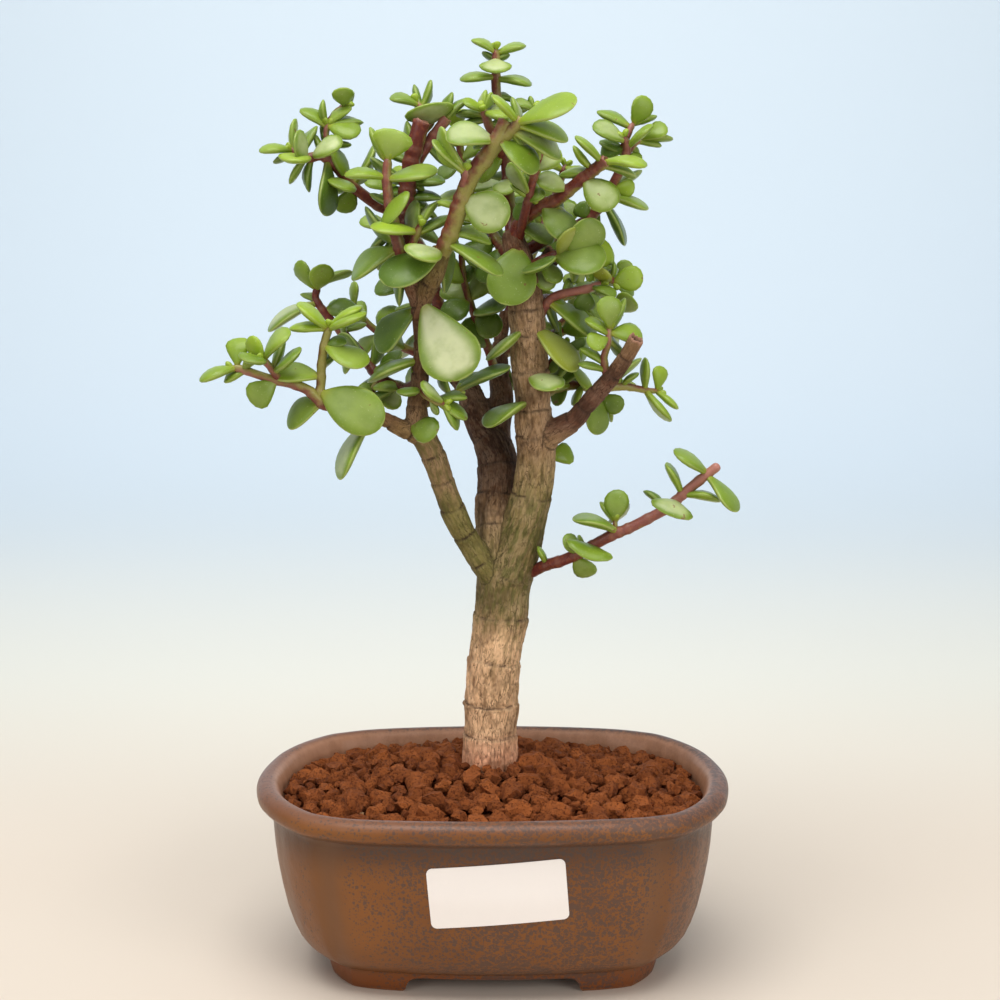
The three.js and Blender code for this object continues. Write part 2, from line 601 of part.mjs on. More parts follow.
function makeGrainSlab() {
  const stepX = GRAIN_PITCH / 2;
  const stepY = GRAIN_PITCH / (2 * Math.sqrt(3));
  const columns = Math.ceil(HALF_LENGTH / GRAIN_PITCH) + 1;
  const rows = Math.ceil(HALF_LENGTH / (3 * stepY));
  const points = [];
  const found = new Map();
  const at = (i, j, lift) => {
    const key = `${i},${j}`;
    if (!found.has(key)) {
      found.set(key, points.length);
      const x = i * stepX + GRAIN_SHIFT * draw();
      const y = j * stepY + GRAIN_SHIFT * draw();
      points.push(new THREE.Vector3(x, y, soilHeight(x, y) + lift + GRAIN_UNEVEN * draw()));
    }
    return found.get(key);
  };
  const triangles = [];
  for (let row = -rows; row <= rows; row += 1) {
    for (let column = -columns; column <= columns; column += 1) {
      const i = 2 * column + (Math.abs(row) % 2);
      const j = 3 * row;
      const middle = at(i, j, GRAIN_HEIGHT / 2);
      const corners = CELL_CORNERS.map(([di, dj]) => at(i + di, j + dj, -GRAIN_HEIGHT / 2));
      corners.forEach((corner, k) => triangles.push([middle, corner, corners[(k + 1) % 6]]));
    }
  }
  return closeBelow(points, triangles, FLOOR_TOP - 2);
}

function closeBelow(points, triangles, bottom) { // a sheet of triangles made a solid down to a level
  const key = (a, b) => `${a},${b}`;
  const edges = new Set(triangles.flatMap(([a, b, c]) => [key(a, b), key(b, c), key(c, a)]));
  const rim = [...edges].map((edge) => edge.split(',').map(Number))
    .filter(([a, b]) => !edges.has(key(b, a)));
  const below = new Map();
  const all = [...points];
  const foot = (i) => {
    if (!below.has(i)) {
      below.set(i, all.length);
      all.push(new THREE.Vector3(points[i].x, points[i].y, bottom));
    }
    return below.get(i);
  };
  const faces = [...triangles];
  const centre = all.push(new THREE.Vector3(0, 0, bottom)) - 1;
  rim.forEach(([a, b]) => {
    faces.push([a, foot(a), b], [b, foot(a), foot(b)], [foot(b), foot(a), centre]);
  });
  const geometry = new THREE.BufferGeometry().setFromPoints(all);
  geometry.setIndex(faces.flat());
  return solidOf(geometry);
}

function makeSoil(trunkHole) {
  const inside = INNER_WALL.map(([inset, z]) => [inset + GAP, z]);
  const topInset = inside[0][0];
  const filling = potShape([
    [HALF_LENGTH, FLOOR_TOP + GAP], [INNER_WALL.at(-1)[0] + 2 * GAP, FLOOR_TOP + GAP],
    ...inside.slice(0, -1).reverse(), [topInset, LIP_HEIGHT + 12], [HALF_LENGTH, LIP_HEIGHT + 12],
  ]);
  const pockets = [-1, 1].map((side) => solidOf(
    new THREE.BoxGeometry(MESH_SIZE + 2 * GAP, MESH_SIZE + 2 * GAP, 2 * (MESH_THICKNESS + 2 * GAP))
      .translate(side * DRAIN_PLACE, 0, FLOOR_TOP),
  ));
  return largestPiece(
    filling.intersect(makeGrainSlab()).subtract(joined(pockets)).subtract(trunkHole),
  );
}

function makeLabel() {
  const near = OUTER_WALL.map(([inset, z]) => [inset - GAP, z]).reverse();
  const far = near.map(([inset, z]) => [inset - LABEL_THICKNESS, z]).reverse();
  const band = potShape([...near, ...far, near[0]]);
  const [w, h, r] = [LABEL_WIDTH / 2, LABEL_HEIGHT / 2, LABEL_CORNER];
  const outline = new THREE.Shape();
  outline.moveTo(-w + r, -h);
  outline.absarc(w - r, -h + r, r, -Math.PI / 2, 0);
  outline.absarc(w - r, h - r, r, 0, Math.PI / 2);
  outline.absarc(-w + r, h - r, r, Math.PI / 2, Math.PI);
  outline.absarc(-w + r, -h + r, r, Math.PI, 1.5 * Math.PI);
  const cutter = new THREE.ExtrudeGeometry(outline, { depth: 60, bevelEnabled: false, curveSegments: 4 })
    .rotateZ(radians(LABEL_TILT)).rotateX(Math.PI / 2)
    .translate(LABEL_PLACE.x, -10, LABEL_PLACE.z);
  return band.intersect(solidOf(cutter));
}

// ---------------------------------------------------------------- stems
function frameAlong(tangent, reference) { // unit side and front vectors across a stem
  const side = tangent.clone().cross(reference).normalize();
  return { side, front: side.clone().cross(tangent).normalize() };
}

class Stem {
  constructor(route, radii) {
    this.spans = route.length - 1;
    this.curve = new THREE.CatmullRomCurve3(route.map(vec), false, 'catmullrom', 0.5);
    this.radii = radii;
    const run = vec(route.at(-1)).sub(vec(route[0])).normalize();
    this.reference = Math.abs(run.y) > 0.8 ? new THREE.Vector3(0, 0, 1) : new THREE.Vector3(0, -1, 0);
  }

  point(place) {
    return this.curve.getPoint(place / this.spans);
  }

  tangent(place) {
    const back = this.point(Math.max(0, place - 0.02));
    return this.point(Math.min(this.spans, place + 0.02)).sub(back).normalize();
  }

  leafRoot(place) { // inside the stem, a little below the node
    return this.point(place).addScaledVector(this.tangent(place), -ROOT_SINK);
  }

  radius(place) {
    const i = Math.min(Math.floor(place), this.spans - 1);
    return this.radii[i] + (this.radii[i + 1] - this.radii[i]) * (place - i);
  }

  solid(sides, grow = 0) { // a closed cylinder bent along the route
    const tube = new THREE.CylinderGeometry(1, 1, 1, sides, this.spans, false, Math.PI / sides);
    const position = tube.attributes.position;
    for (let i = 0; i < position.count; i += 1) {
      const place = (position.getY(i) + 0.5) * this.spans;
      const tangent = this.tangent(place);
      const { side, front } = frameAlong(tangent, this.reference);
      const radius = this.radius(place) + grow;
      const overrun = place === 0 ? -grow : (place === this.spans ? grow : 0);
      const point = this.point(place).addScaledVector(tangent, overrun)
        .addScaledVector(side, position.getX(i) * radius)
        .addScaledVector(front, position.getZ(i) * radius);
      position.setXYZ(i, point.x, point.y, point.z);
    }
    return solidOf(tube);
  }

  rods(owner) {
    return Array.from({ length: this.spans }, (_, i) => ({
      owner,
      from: this.point(i),
      to: this.point(i + 1),
      radius: Math.max(this.radius(i), this.radius(i + 1)),
    }));
  }
}

function evenRadii(route, [root, tip]) {
  return route.map((_, i) => root + ((tip - root) * i) / (route.length - 1));
}

const woodLimbs = WOOD.map(({ sides, route }) => (
  { sides, stem: new Stem(route, route.map((point) => point[3])) }
));

function makeWood(grow) {
  return joined(woodLimbs.map(({ sides, stem }) => stem.solid(sides, grow)));
}

// ---------------------------------------------------------------- leaves
const rods = woodLimbs.flatMap(({ stem }) => stem.rods('wood'));
const placed = [];

function leafAt(root, reach, face, width = LEAF_WIDTH_TO_LENGTH * reach.length()) {
  const length = reach.length();
  const along = reach.clone().normalize();
  const normal = face.clone().addScaledVector(along, -face.dot(along)).normalize();
  const across = along.clone().cross(normal);
  const thickness = Math.min(2.7, 1.1 + 0.085 * length);
  return { root, along, normal, across, length, width, thickness };
}

function leafPoint(leaf, part, sideways, up) {
  return leaf.root.clone()
    .addScaledVector(leaf.along, part * leaf.length)
    .addScaledVector(leaf.across, (sideways * leaf.width) / 2)
    .addScaledVector(leaf.normal, (up * leaf.thickness) / 2 - LEAF_CUP * leaf.length * part * part);
}

const PROBES = [[0.25, 0], [0.45, -0.8], [0.45, 0], [0.45, 0.8], [0.75, -1], [0.75, 0], [0.75, 1], [1, 0]];

function sinks(leaf, other) { // how deep the first leaf's probes lie in the other leaf
  if (leaf.root.distanceTo(other.root) > leaf.length + other.length + 3) return 0;
  return Math.max(0, ...PROBES.map(([part, sideways]) => {
    const away = leafPoint(leaf, part, sideways, 0).sub(other.root);
    const along = away.dot(other.along) / other.length;
    const across = away.dot(other.across) / (other.width / 2);
    if (((along - 0.55) / 0.53) ** 2 + across ** 2 > 1.2) return 0;
    const bow = LEAF_CUP * other.length * along * along;
    return (leaf.thickness + other.thickness) / 2 + LEAF_CLEAR - Math.abs(away.dot(other.normal) + bow);
  }));
}

function sinksInRod(leaf, rod) {
  const line = new THREE.Line3(rod.from, rod.to);
  const near = new THREE.Vector3();
  return Math.max(0, ...PROBES.map(([part, sideways]) => {
    const probe = leafPoint(leaf, part, sideways, 0);
    line.closestPointToPoint(probe, true, near);
    return rod.radius + leaf.thickness / 2 + LEAF_CLEAR - near.distanceTo(probe);
  }));
}

function isClear(leaf, owner) {
  return placed.every((other) => sinks(leaf, other) <= 0 && sinks(other, leaf) <= 0)
    && rods.every((rod) => rod.owner === owner || sinksInRod(leaf, rod) <= 0);
}

function pairedLeaf(stem, place, length, roll, lift, owner) { // turned clear, or null where it can't be
  const tangent = stem.tangent(place);
  const { side, front } = frameAlong(tangent, stem.reference);
  const grown = length * (1 + LENGTH_VARIES * draw());
  const rollAngle = radians(roll + ANGLE_VARIES * draw());
  const liftAngle = lift + ANGLE_VARIES * draw();
  const twist = radians(TWIST_VARIES * draw());
  const out = side.clone().multiplyScalar(Math.cos(rollAngle)).addScaledVector(front, Math.sin(rollAngle));
  const root = stem.leafRoot(place);
  const light = root.clone().sub(CROWN_MIDDLE).divideScalar(CROWN_REACH).add(LIGHT);
  for (const size of CLEAR_SIZES) {
    for (const [moreLift, swing] of CLEAR_TURNS) {
      const tilt = radians(liftAngle + moreLift);
      const axis = out.clone().multiplyScalar(Math.cos(tilt)).addScaledVector(tangent, Math.sin(tilt));
      const face = tangent.clone().multiplyScalar(Math.cos(tilt)).addScaledVector(out, -Math.sin(tilt));
      axis.applyAxisAngle(face, radians(swing));
      face.addScaledVector(light, LIGHT_PULL).applyAxisAngle(axis, twist);
      const leaf = leafAt(root, axis.setLength(grown * size), face);
      if (isClear(leaf, owner)) return leaf;
    }
  }
  return null;
}

function leafSolid(leaf) { // a ball of a few facets, drawn out to the leaf's outline
  const { across, rows } = leaf.length < LARGE_LENGTH ? SMALL_LEAF : LARGE_LEAF;
  const last = rows.length - 1;
  const keel = across === 3 ? -Math.PI / 2 : 0;
  const widest = across === 3 ? Math.cos(Math.PI / 6) : 1;
  const ball = new THREE.SphereGeometry(1, across, last, keel);
  const position = ball.attributes.position;
  for (let i = 0; i < position.count; i += 1) {
    const height = THREE.MathUtils.clamp(position.getY(i), -1, 1);
    const [part, width, thickness] = rows[last - Math.round((Math.acos(height) / Math.PI) * last)];
    const spread = Math.hypot(position.getX(i), position.getZ(i)) || 1;
    const sideways = (position.getX(i) / (spread * widest)) * width;
    const up = (position.getZ(i) / spread) * thickness;
    const point = leafPoint(leaf, part, sideways, up);
    position.setXYZ(i, point.x, point.y, point.z);
  }
  return solidOf(ball);
}

// Every stem first, then the single leaves, then the pairs, which turn clear of all that is there.
const shoots = Object.entries(SHOOTS).map(([name, stems]) => ({
  name,
  stems: stems.map((plan) => ({ ...plan, stem: new Stem(plan.route, evenRadii(plan.route, plan.radius)) })),
  leaves: [],
}));
shoots.forEach(({ name, stems }) => stems.forEach(({ stem }) => rods.push(...stem.rods(name))));

const singles = Object.entries(SINGLE_LEAVES).map(([name, [root, reach, face, width]]) => {
  const leaf = leafAt(vec(root), vec(reach), vec(face), width);
  placed.push(leaf);
  return { name, leaf };
});
shoots.forEach(({ stems, leaves }) => stems.forEach(({ stem, leaves: plans = [] }) => {
  plans.forEach(([place, reach, face, width]) => {
    const leaf = leafAt(stem.leafRoot(place), vec(reach), vec(face), width);
    placed.push(leaf);
    leaves.push(leaf);
  });
}));
shoots.forEach(({ name, stems, leaves }) => stems.forEach(({ stem, pairs = [] }) => {
  pairs.forEach(([place, length, roll, lift]) => {
    [0, 180].forEach((turn) => {
      const leaf = pairedLeaf(stem, place, length, roll + turn, lift, name);
      if (leaf) {
        placed.push(leaf);
        leaves.push(leaf);
      }
    });
  });
}));

// ---------------------------------------------------------------- assembly
const FINISHES = {
  pot: { color: 0x6b4029, roughness: 0.5, metalness: 0 },
  mesh: { color: 0x2b2b2b, roughness: 0.7, metalness: 0 },
  soil: { color: 0x7a3f22, roughness: 0.95, metalness: 0 },
  label: { color: 0xf2f2ee, roughness: 0.6, metalness: 0 },
  bark: { color: 0x8a7350, roughness: 0.85, metalness: 0 },
  leaf: { color: 0x6fa03a, roughness: 0.4, metalness: 0 },
};

const bonsai = new THREE.Group();
const inPlace = new THREE.Group();
inPlace.position.copy(POT_PLACE);
bonsai.add(inPlace);

function add(name, solid, finish) {
  const mesh = new THREE.Mesh(geometryOf(solid), new THREE.MeshStandardMaterial(FINISHES[finish]));
  mesh.name = name;
  inPlace.add(mesh);
}

const wood = largestPiece(makeWood(0));
const woodHole = makeWood(GAP);
add('pot', makePot(), 'pot');
add('drain_mesh_left', makeDrainMesh(-1), 'mesh');
add('drain_mesh_right', makeDrainMesh(1), 'mesh');
add('soil', makeSoil(woodHole), 'soil');
add('blank_label', makeLabel(), 'label');
add('trunk', wood, 'bark');
shoots.forEach(({ name, stems, leaves }) => {
  const grown = joined([...stems.map(({ stem }) => stem.solid(STEM_SIDES)), ...leaves.map(leafSolid)]);
  add(name, largestPiece(grown.subtract(woodHole)), 'leaf');
});
singles.forEach(({ name, leaf }) => add(name, largestPiece(leafSolid(leaf).subtract(woodHole)), 'leaf'));

export default bonsai;
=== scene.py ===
# Dwarf jade bonsai in an oval glazed pot. Metres, +Z up, the front of the pot towards -Y.
import math
import random
from collections import namedtuple

import bmesh
import bpy
import numpy as np
from mathutils import Matrix, Vector, noise


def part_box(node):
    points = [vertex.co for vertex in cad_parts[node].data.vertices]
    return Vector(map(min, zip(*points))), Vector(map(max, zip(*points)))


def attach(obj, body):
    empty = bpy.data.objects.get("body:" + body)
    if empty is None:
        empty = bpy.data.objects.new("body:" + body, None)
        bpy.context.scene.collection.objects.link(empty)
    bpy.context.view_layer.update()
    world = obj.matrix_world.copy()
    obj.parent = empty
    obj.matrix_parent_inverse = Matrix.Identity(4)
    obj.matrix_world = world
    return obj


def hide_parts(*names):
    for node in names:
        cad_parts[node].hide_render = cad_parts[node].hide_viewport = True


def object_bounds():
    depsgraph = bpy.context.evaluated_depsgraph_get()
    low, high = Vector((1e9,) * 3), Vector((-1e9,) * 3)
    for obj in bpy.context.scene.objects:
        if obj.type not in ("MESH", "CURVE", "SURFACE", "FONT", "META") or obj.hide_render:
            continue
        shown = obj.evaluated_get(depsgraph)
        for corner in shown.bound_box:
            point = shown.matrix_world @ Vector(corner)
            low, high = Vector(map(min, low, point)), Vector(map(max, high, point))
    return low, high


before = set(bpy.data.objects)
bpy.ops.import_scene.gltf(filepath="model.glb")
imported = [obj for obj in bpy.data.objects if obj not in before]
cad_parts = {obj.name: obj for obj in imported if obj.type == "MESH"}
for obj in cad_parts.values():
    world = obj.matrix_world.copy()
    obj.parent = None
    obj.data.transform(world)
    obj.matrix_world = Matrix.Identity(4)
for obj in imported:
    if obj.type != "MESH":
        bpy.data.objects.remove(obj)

CAD_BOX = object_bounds()

# -------------------------------- driving dimensions, millimetres
MM = 0.001
POT_LOW, POT_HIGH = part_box("pot")
POT_MIDDLE = np.array([(POT_LOW.x + POT_HIGH.x) / 2, (POT_LOW.y + POT_HIGH.y) / 2, 0])

# Pot: plan of the lip from the middle of the right end to the middle of the back.
LIP_PLAN = [(75, 0), (73.6, 14), (70, 27), (62, 39.5), (52, 47.5), (33, 52.5), (0, 54.8)]
# Places in the plan where two panels of the wall meet, and how deep the crease is there.
CREASES = ((2, 0.35), (4, 1))
# Outside of the wall as (how far inside the lip, height), from the underside up to the lip.
UNDERSIDE = [(23, 5), (22.2, 5.3)]
OUTER_WALL = [
    (21.2, 6.4), (19.6, 7.5), (17.5, 8.6), (15.2, 10.4), (12.4, 13.5), (8.9, 22.5), (6.2, 36),
    (5.3, 45), (5.0, 50.4),
]
LIP_ROLL = [
    (4.5, 52.4), (3.1, 53.7), (1.3, 54.9), (0.2, 56.4), (0.1, 58.3), (0.9, 59.8), (2.4, 60.8),
    (4.2, 61), (5.8, 60.4), (6.9, 59),
]
INNER_WALL = [(7.8, 56.4), (8.5, 50), (9.4, 42), (14.4, 20), (17, 13), (20.5, 10.5)]
POT_SIDES = 144
POT_STEPS = 3  # rings between two points of the outline
CREASE_DEPTH = 0.85
CREASE_WIDTH = 4.4
LIP_WOBBLE = 0.45
LIP_LENGTH = 410  # all round
FOOT_RING = [
    (23.0, 0.0), (22.4, 0.5), (21.9, 2.0), (21.5, 4.0), (21.3, 6.6), (30, 6.6), (30.4, 3.0),
    (30, 0.6), (29.4, 0.0), (26, 0.0),
]
FOOT_GAP_LONG = 27  # half the gap between the feet along the front
FOOT_GAP_SHORT = 13
# One side of the arch between two feet, as (how far inside the half gap, height).
FOOT_ARCH = [(-2, -2), (-0.8, -0.2), (0, 0.9), (0.5, 2.4), (0.9, 3.4), (1.9, 4.4), (3.5, 4.9), (6, 5)]
DRAIN_RADIUS = 7
DRAIN_PLACE = 28

SOIL_MIDDLE = 63.8
SOIL_FALL = 8.4
SOIL_BED_DEPTH = 4.2
SOIL_BED_SIDE = [(22, 12.1), (15, 20), (10, 42)]  # how far inside the lip, height
SOIL_BED_RINGS = [1, 0.97, 0.9, 0.8, 0.7, 0.6, 0.5, 0.4, 0.3, 0.2, 0.1]
SOIL_WALL = 8.1  # how far inside the lip the soil ends
# Radii of the grains, each with how often a place for it is tried.
GRAIN_SIZES = [(5.2, 22), (4.4, 90), (3.6, 260), (2.8, 1000), (2.1, 3000), (1.5, 5000), (1.1, 6500)]
# Smaller grains also get painted shade, for lying deeper between the large ones.
FINE_GRAIN = 2.5  # smaller ones lie deeper, and are darker
GRAIN_CLOSENESS = 0.86  # distance of two neighbours, to the sum of their radii
TRUNK_ROOM = 8.6  # no grain's middle lies nearer to the trunk's
GRAIN_SHAPES = 9
# Pale pebbles, as (x, y, diameter).
PEBBLES = [(5, -40.5, 3.0), (24, -47, 2.4), (43, -34, 2.6), (-40, -26, 1.9)]

LABEL_SIZE = (41, 19.5)
LABEL_CORNER = 1.8
LABEL_THICKNESS = 0.22
LABEL_PLACE = (1.6, 38)
LABEL_TILT = 4.6
LABEL_STAND_OFF = 0.1


# -------------------------------- the plant's plan
# Bark tones, from the foot of the trunk to the thin wood.
PINK_TAN = (0.76, 0.37, 0.205)
TAN = (0.90, 0.56, 0.31)
OLIVE = (0.29, 0.198, 0.08)
BROWN_OLIVE = (0.37, 0.25, 0.10)
BROWN = (0.36, 0.22, 0.11)
# The two darkest browns are painted shade, for bark that lies in the shade of the crown and of the left
# branch.
BROWN_SHADE = (0.105, 0.042, 0.016)
DARK_BROWN_IN_SHADE = (0.072, 0.026, 0.011)
GREEN_OLIVE = (0.25, 0.20, 0.06)
RED_BROWN = (0.155, 0.062, 0.025)
STUB_BROWN = (0.135, 0.055, 0.029)
STUB_TIP = (0.24, 0.13, 0.06)
FORK_OLIVE = (0.20, 0.13, 0.045)
FORK_TIP = (0.22, 0.18, 0.05)
CUT_WOOD = (0.46, 0.24, 0.16)

# Limbs that a rule names, by their number in the order below.
TRUNK, SNAG, SECOND_TRUNK, LEFT_BRANCH, STUB = 0, 1, 2, 4, 6
LimbPlan = namedtuple("LimbPlan", "rough route rings tones")
WOOD = []


def plan_limb(rough, route, rings, tones):
    """A limb: how rough its bark is, its points (x, y, z, radius), its rings and tones by height."""
    WOOD.append(LimbPlan(rough, route, rings, tones))


# Trunk and the main upright.
plan_limb(1, [
    (-1, 6, 36, 8), (-1, 6, 56, 8.9), (-1, 6, 64, 8.8), (-1, 6, 75, 8.6), (0, 6, 93, 8.4), (2, 6, 106, 8.6),
    (3, 6, 116, 8.7), (4, 6, 124, 8.9), (7.4, 4, 133, 7.4), (10, 2.5, 141, 6.7), (12.1, 2, 150, 6.2),
    (13.2, 1, 159, 6.3), (13.4, 0, 167, 6.1), (12.6, -1, 175, 5.5), (12, -2, 183, 5.8), (11, -3, 197, 5.5),
    (10, -3, 209, 5.5), (10, -2, 215, 5), (8, 0, 222, 4.4), (6, 2, 231, 3.2),
], rings=[71.5, 81.8, 95.7, 110.3, 124.8, 149.5, 169.2, 177.1, 188.9, 200.1, 207.4, 219], tones=[
    (66, PINK_TAN), (74, TAN), (104, TAN), (115, OLIVE), (136, OLIVE), (152, BROWN_OLIVE), (166, BROWN),
    (208, BROWN), (217, RED_BROWN), (231, RED_BROWN),
])
# Cut snag.
plan_limb(0.7, [(10, -2, 213, 3), (15, 1, 219, 3.2), (19, 4, 225, 3)], rings=[], tones=[
    (213, BROWN), (222, DARK_BROWN_IN_SHADE),
])
# Second trunk.
plan_limb(0.9, [
    (2.6, 6, 117, 7.3), (2, 5.5, 127, 7.1), (1.5, 6.5, 137, 6.9), (1.2, 9.5, 146, 6.7),
    (1.6, 13.5, 157, 6.4), (-0.4, 17, 164, 6), (-4, 21, 170, 4.9), (-8, 26, 180, 4.2), (-13, 32, 188, 3.5),
    (-16, 36, 197, 2.8), (-17, 38, 206, 2.2),
], rings=[139, 148, 157, 165, 175, 186, 197], tones=[
    (122, OLIVE), (134, OLIVE), (142, BROWN), (152, BROWN_SHADE), (162, DARK_BROWN_IN_SHADE), (206, RED_BROWN),
])
# Its right fork.
plan_limb(0.7, [
    (1, 18, 166, 4.6), (2.5, 26, 177, 4), (2, 31, 185, 3.2), (2, 36, 194, 2.5), (4, 40, 205, 2),
], rings=[173, 184, 195], tones=[(167, DARK_BROWN_IN_SHADE), (205, RED_BROWN)])
# Left branch, up to where it forks.
plan_limb(0.4, [
    (1, 3, 121, 3.6), (-4.5, 0, 130, 3.9), (-8, -2, 136, 3.7), (-12, -5, 145, 3.9), (-15, -8, 154, 3.7),
    (-18, -10, 163, 3.9), (-21, -12, 170, 3.7), (-23, -13, 177, 3.3), (-22, -14, 186, 2.8),
    (-21, -15, 197, 2.7), (-22, -16, 209, 2.4), (-24, -17, 215, 2.4), (-26, -18, 223, 2.2),
], rings=[129, 138, 147, 155.5, 164, 171, 179, 189, 199, 209], tones=[
    (124, GREEN_OLIVE), (146, GREEN_OLIVE), (154, BROWN), (172, BROWN), (188, BROWN_SHADE), (223, RED_BROWN),
])
# Front fork of the left branch.
plan_limb(0.1, [
    (-22, -16, 206, 2.2), (-20, -17, 213, 2.9), (-17, -20, 219, 3.1), (-15, -24, 226, 3),
], rings=[216], tones=[(206, RED_BROWN), (216, FORK_OLIVE), (226, FORK_TIP)])
# Cut stub on the right.
plan_limb(0.35, [
    (13, 0, 165, 4.4), (19, -3, 170, 4), (25, -6, 174, 3.2), (28, -8, 178, 2.8), (36, -13, 188, 2.7),
    (40, -16, 194, 2.5), (43, -19, 200, 2.45),
], rings=[169, 173.5, 178, 183, 188.5, 194], tones=[
    (167, BROWN), (172, STUB_BROWN), (187, STUB_BROWN), (196, STUB_TIP),
])
# Low branch to the left.
plan_limb(0.3, [
    (-19, -11, 168, 3), (-27, -14, 172, 2.7), (-34, -17, 176, 2.2), (-43, -20, 178, 1.9),
], rings=[171, 174.5, 177], tones=[(168, BROWN_OLIVE), (178, RED_BROWN)])

# Which way the upper face of a leaf leans, where it isn't up.
LEFT = (-1, -0.2, 0)
RIGHT = (1, -0.2, 0)

# Young, silvery and yellow shares of a leaf's colour. The young share also holds painted light and shade:
# the darkest tone is for old leaves and for leaves in the shade inside the crown and at the back.
LIME = (0.95, 0, 0)
FRESH = (0.62, 0.05, 0)
MID = (0.36, 0.06, 0)
DEEP_AND_SHADED = (0.06, 0, 0)
PALE = (0.45, 0.5, 0)
YELLOWED = (0.4, 0.1, 0.5)

StemPlan = namedtuple("StemPlan", "radius route leaves pairs tint blunt")
SHOOTS = {}


def plan_stem(shoot, radius, route, leaves=(), pairs=(), tint=(0.5, 0), blunt=False):
    """One stem of a leafy shoot: its radius at root and tip, its route, and how red and pink it is.

    Leaves are (place, reach, how wide it looks from the front, tone, the side that its upper face
    leans to). Pairs stand across the stem, as (place, length, roll, lift). A place counts route
    points. Roll 0 is a pair side to side, and 90 one to the front and back. A blunt stem is thick at
    its tip, and not cut there.
    """
    plan = StemPlan(radius, route, leaves, pairs, tint, blunt)
    SHOOTS.setdefault("shoot_" + shoot, []).append(plan)


plan_stem("top", (2.1, 1.2), [
    (6, 3, 228), (5, 8, 239), (4, 9, 253), (2, 7, 265), (1, 6, 274), (1, 5, 280), (1, 5, 286),
], leaves=[
    (5.9, (9, 1, 3), 3.5, FRESH), (5.9, (-7, 1, 5), 3.5, FRESH), (5.6, (0, -8, -4), 9.5, PALE),
    (5.6, (-3, 6, 2), 2, DEEP_AND_SHADED), (5.6, (4, 6, 2), 2, DEEP_AND_SHADED), (4.7, (-11, -2, 0), 3.5, MID),
    (4.6, (11, -2, -1), 3.5, MID), (3.8, (5, 5, 0), 3.5, MID, RIGHT), (3.6, (-4, 6, 1), 3.5, DEEP_AND_SHADED, LEFT),
    (3, (9, 4, 6), 4.5, MID), (2.6, (-9, 5, -2), 5, DEEP_AND_SHADED),
], pairs=[(2.7, 12, 90, 20), (2.2, 12, 0, 12), (1.6, 12, 90, 10)], tint=(0.55, 0))
plan_stem("top", (1.6, 1.2), [(3, 9, 254), (0, 3, 260), (-2, -2, 265), (-3, -4, 267.5)], leaves=[
    (3, (-6, -3, 3), 3.5, FRESH), (3, (3, -2, 5), 3.5, FRESH, RIGHT), (2.8, (8, -6, -1), 3.5, FRESH),
    (3, (0, 4, 6), 3.5, PALE), (2.4, (6, -2, 3), 4.5, PALE), (2.4, (-8, 3, 1), 3, DEEP_AND_SHADED),
    (2, (-7, 6, 0), 4, DEEP_AND_SHADED), (1.7, (7, 6, 0), 4, DEEP_AND_SHADED),
], tint=(0.7, 0.5))
plan_stem("top", (1.3, 1), [(4, 8, 256), (10, 4, 263), (13, 1, 268)], leaves=[
    (2, (-6, -2, 3), 3.5, MID), (2, (-2, 2, 4), 3, MID, LEFT), (1.8, (5, -2, 4), 3.5, MID),
    (1, (-5, -3, 3), 4, MID), (1, (6, 3, 3), 4.5, MID),
])

plan_stem("front_leader", (2.7, 2.4), [
    (-16, -22, 223), (-13, -26, 228.5), (-11, -28, 234), (-6.5, -31, 246), (-2, -33, 252), (1.5, -35, 257),
    (3.5, -35, 261),
], leaves=[
    (5, (-14, -3, 2), 7, PALE), (5.2, (11, -4, -9), 7, MID), (1, (16, -7, -9), 5, MID),
    (0.5, (-9, -5, 0), 6, PALE), (0.3, (-17, -3, -7), 9.5, DEEP_AND_SHADED), (2.6, (13, -6, -6), 11.5, PALE),
    (1.6, (12, 4, -1), 5.5, FRESH), (2.4, (-6, 3, 2), 3, FRESH), (0.4, (4, 6, -8), 8.5, DEEP_AND_SHADED, RIGHT),
], tint=(0.3, 0))
plan_stem("front_leader", (1.3, 1.1), [(-8.5, -30, 242), (-8, -32, 245), (-7, -33, 249)], leaves=[
    (2, (-9, 2, 11), 7, FRESH, LEFT), (2, (4, 4, 4), 2, LIME), (1.8, (-10, 5, 9), 2.5, MID, LEFT),
], tint=(0.6, 0.7))
plan_stem("front_leader", (1.7, 1.5), [
    (2, -34, 256), (4.5, -36, 258.5), (6.5, -37, 260.5), (8, -37, 262),
], leaves=[
    (3, (-7, -3, 8), 3, LIME), (3, (-1, 5, 7), 3.5, PALE, RIGHT), (2.8, (16, -4, 6), 6.5, FRESH),
    (2.6, (15, 5, -3), 5.5, MID), (1.6, (7, 7, -5), 5.5, PALE), (1.6, (15, 12, -5), 7.5, PALE),
], tint=(0.1, 0))

plan_stem("left_leader", (2.1, 1.3), [
    (-26, -18, 221), (-28, -19, 228.5), (-29.5, -20, 235), (-30.5, -20, 241), (-31, -20, 247),
    (-30.5, -20, 252.5),
], leaves=[
    (5, (2, -2, 9), 11.5, FRESH, RIGHT), (5, (-5, 3, 8), 3, FRESH, LEFT), (4.1, (-12, -2, 2), 4, FRESH),
    (4, (15, -2, 3), 5, FRESH), (2.8, (3, -9, -2), 12.5, FRESH), (2.8, (-4, 9, 3), 4, DEEP_AND_SHADED),
    (1, (-11, 6, 9), 4.5, DEEP_AND_SHADED, LEFT), (0.8, (-15, 5, -8), 7, MID), (0.3, (-3, 7, -12), 5, DEEP_AND_SHADED, LEFT),
], tint=(0.6, 0.3))
plan_stem("left_leader", (1.3, 1), [
    (-26.5, -17, 222), (-24, -21, 226.5), (-22, -23, 231), (-21, -24, 233.5),
], leaves=[
    (2.2, (-13, -2, 2), 4, LIME), (2.1, (-2, 3, 9), 6, PALE, LEFT), (2.2, (6, -1, 9), 4, PALE, LEFT),
    (2, (10, 6, 6), 4, MID),
], tint=(0.4, 0))
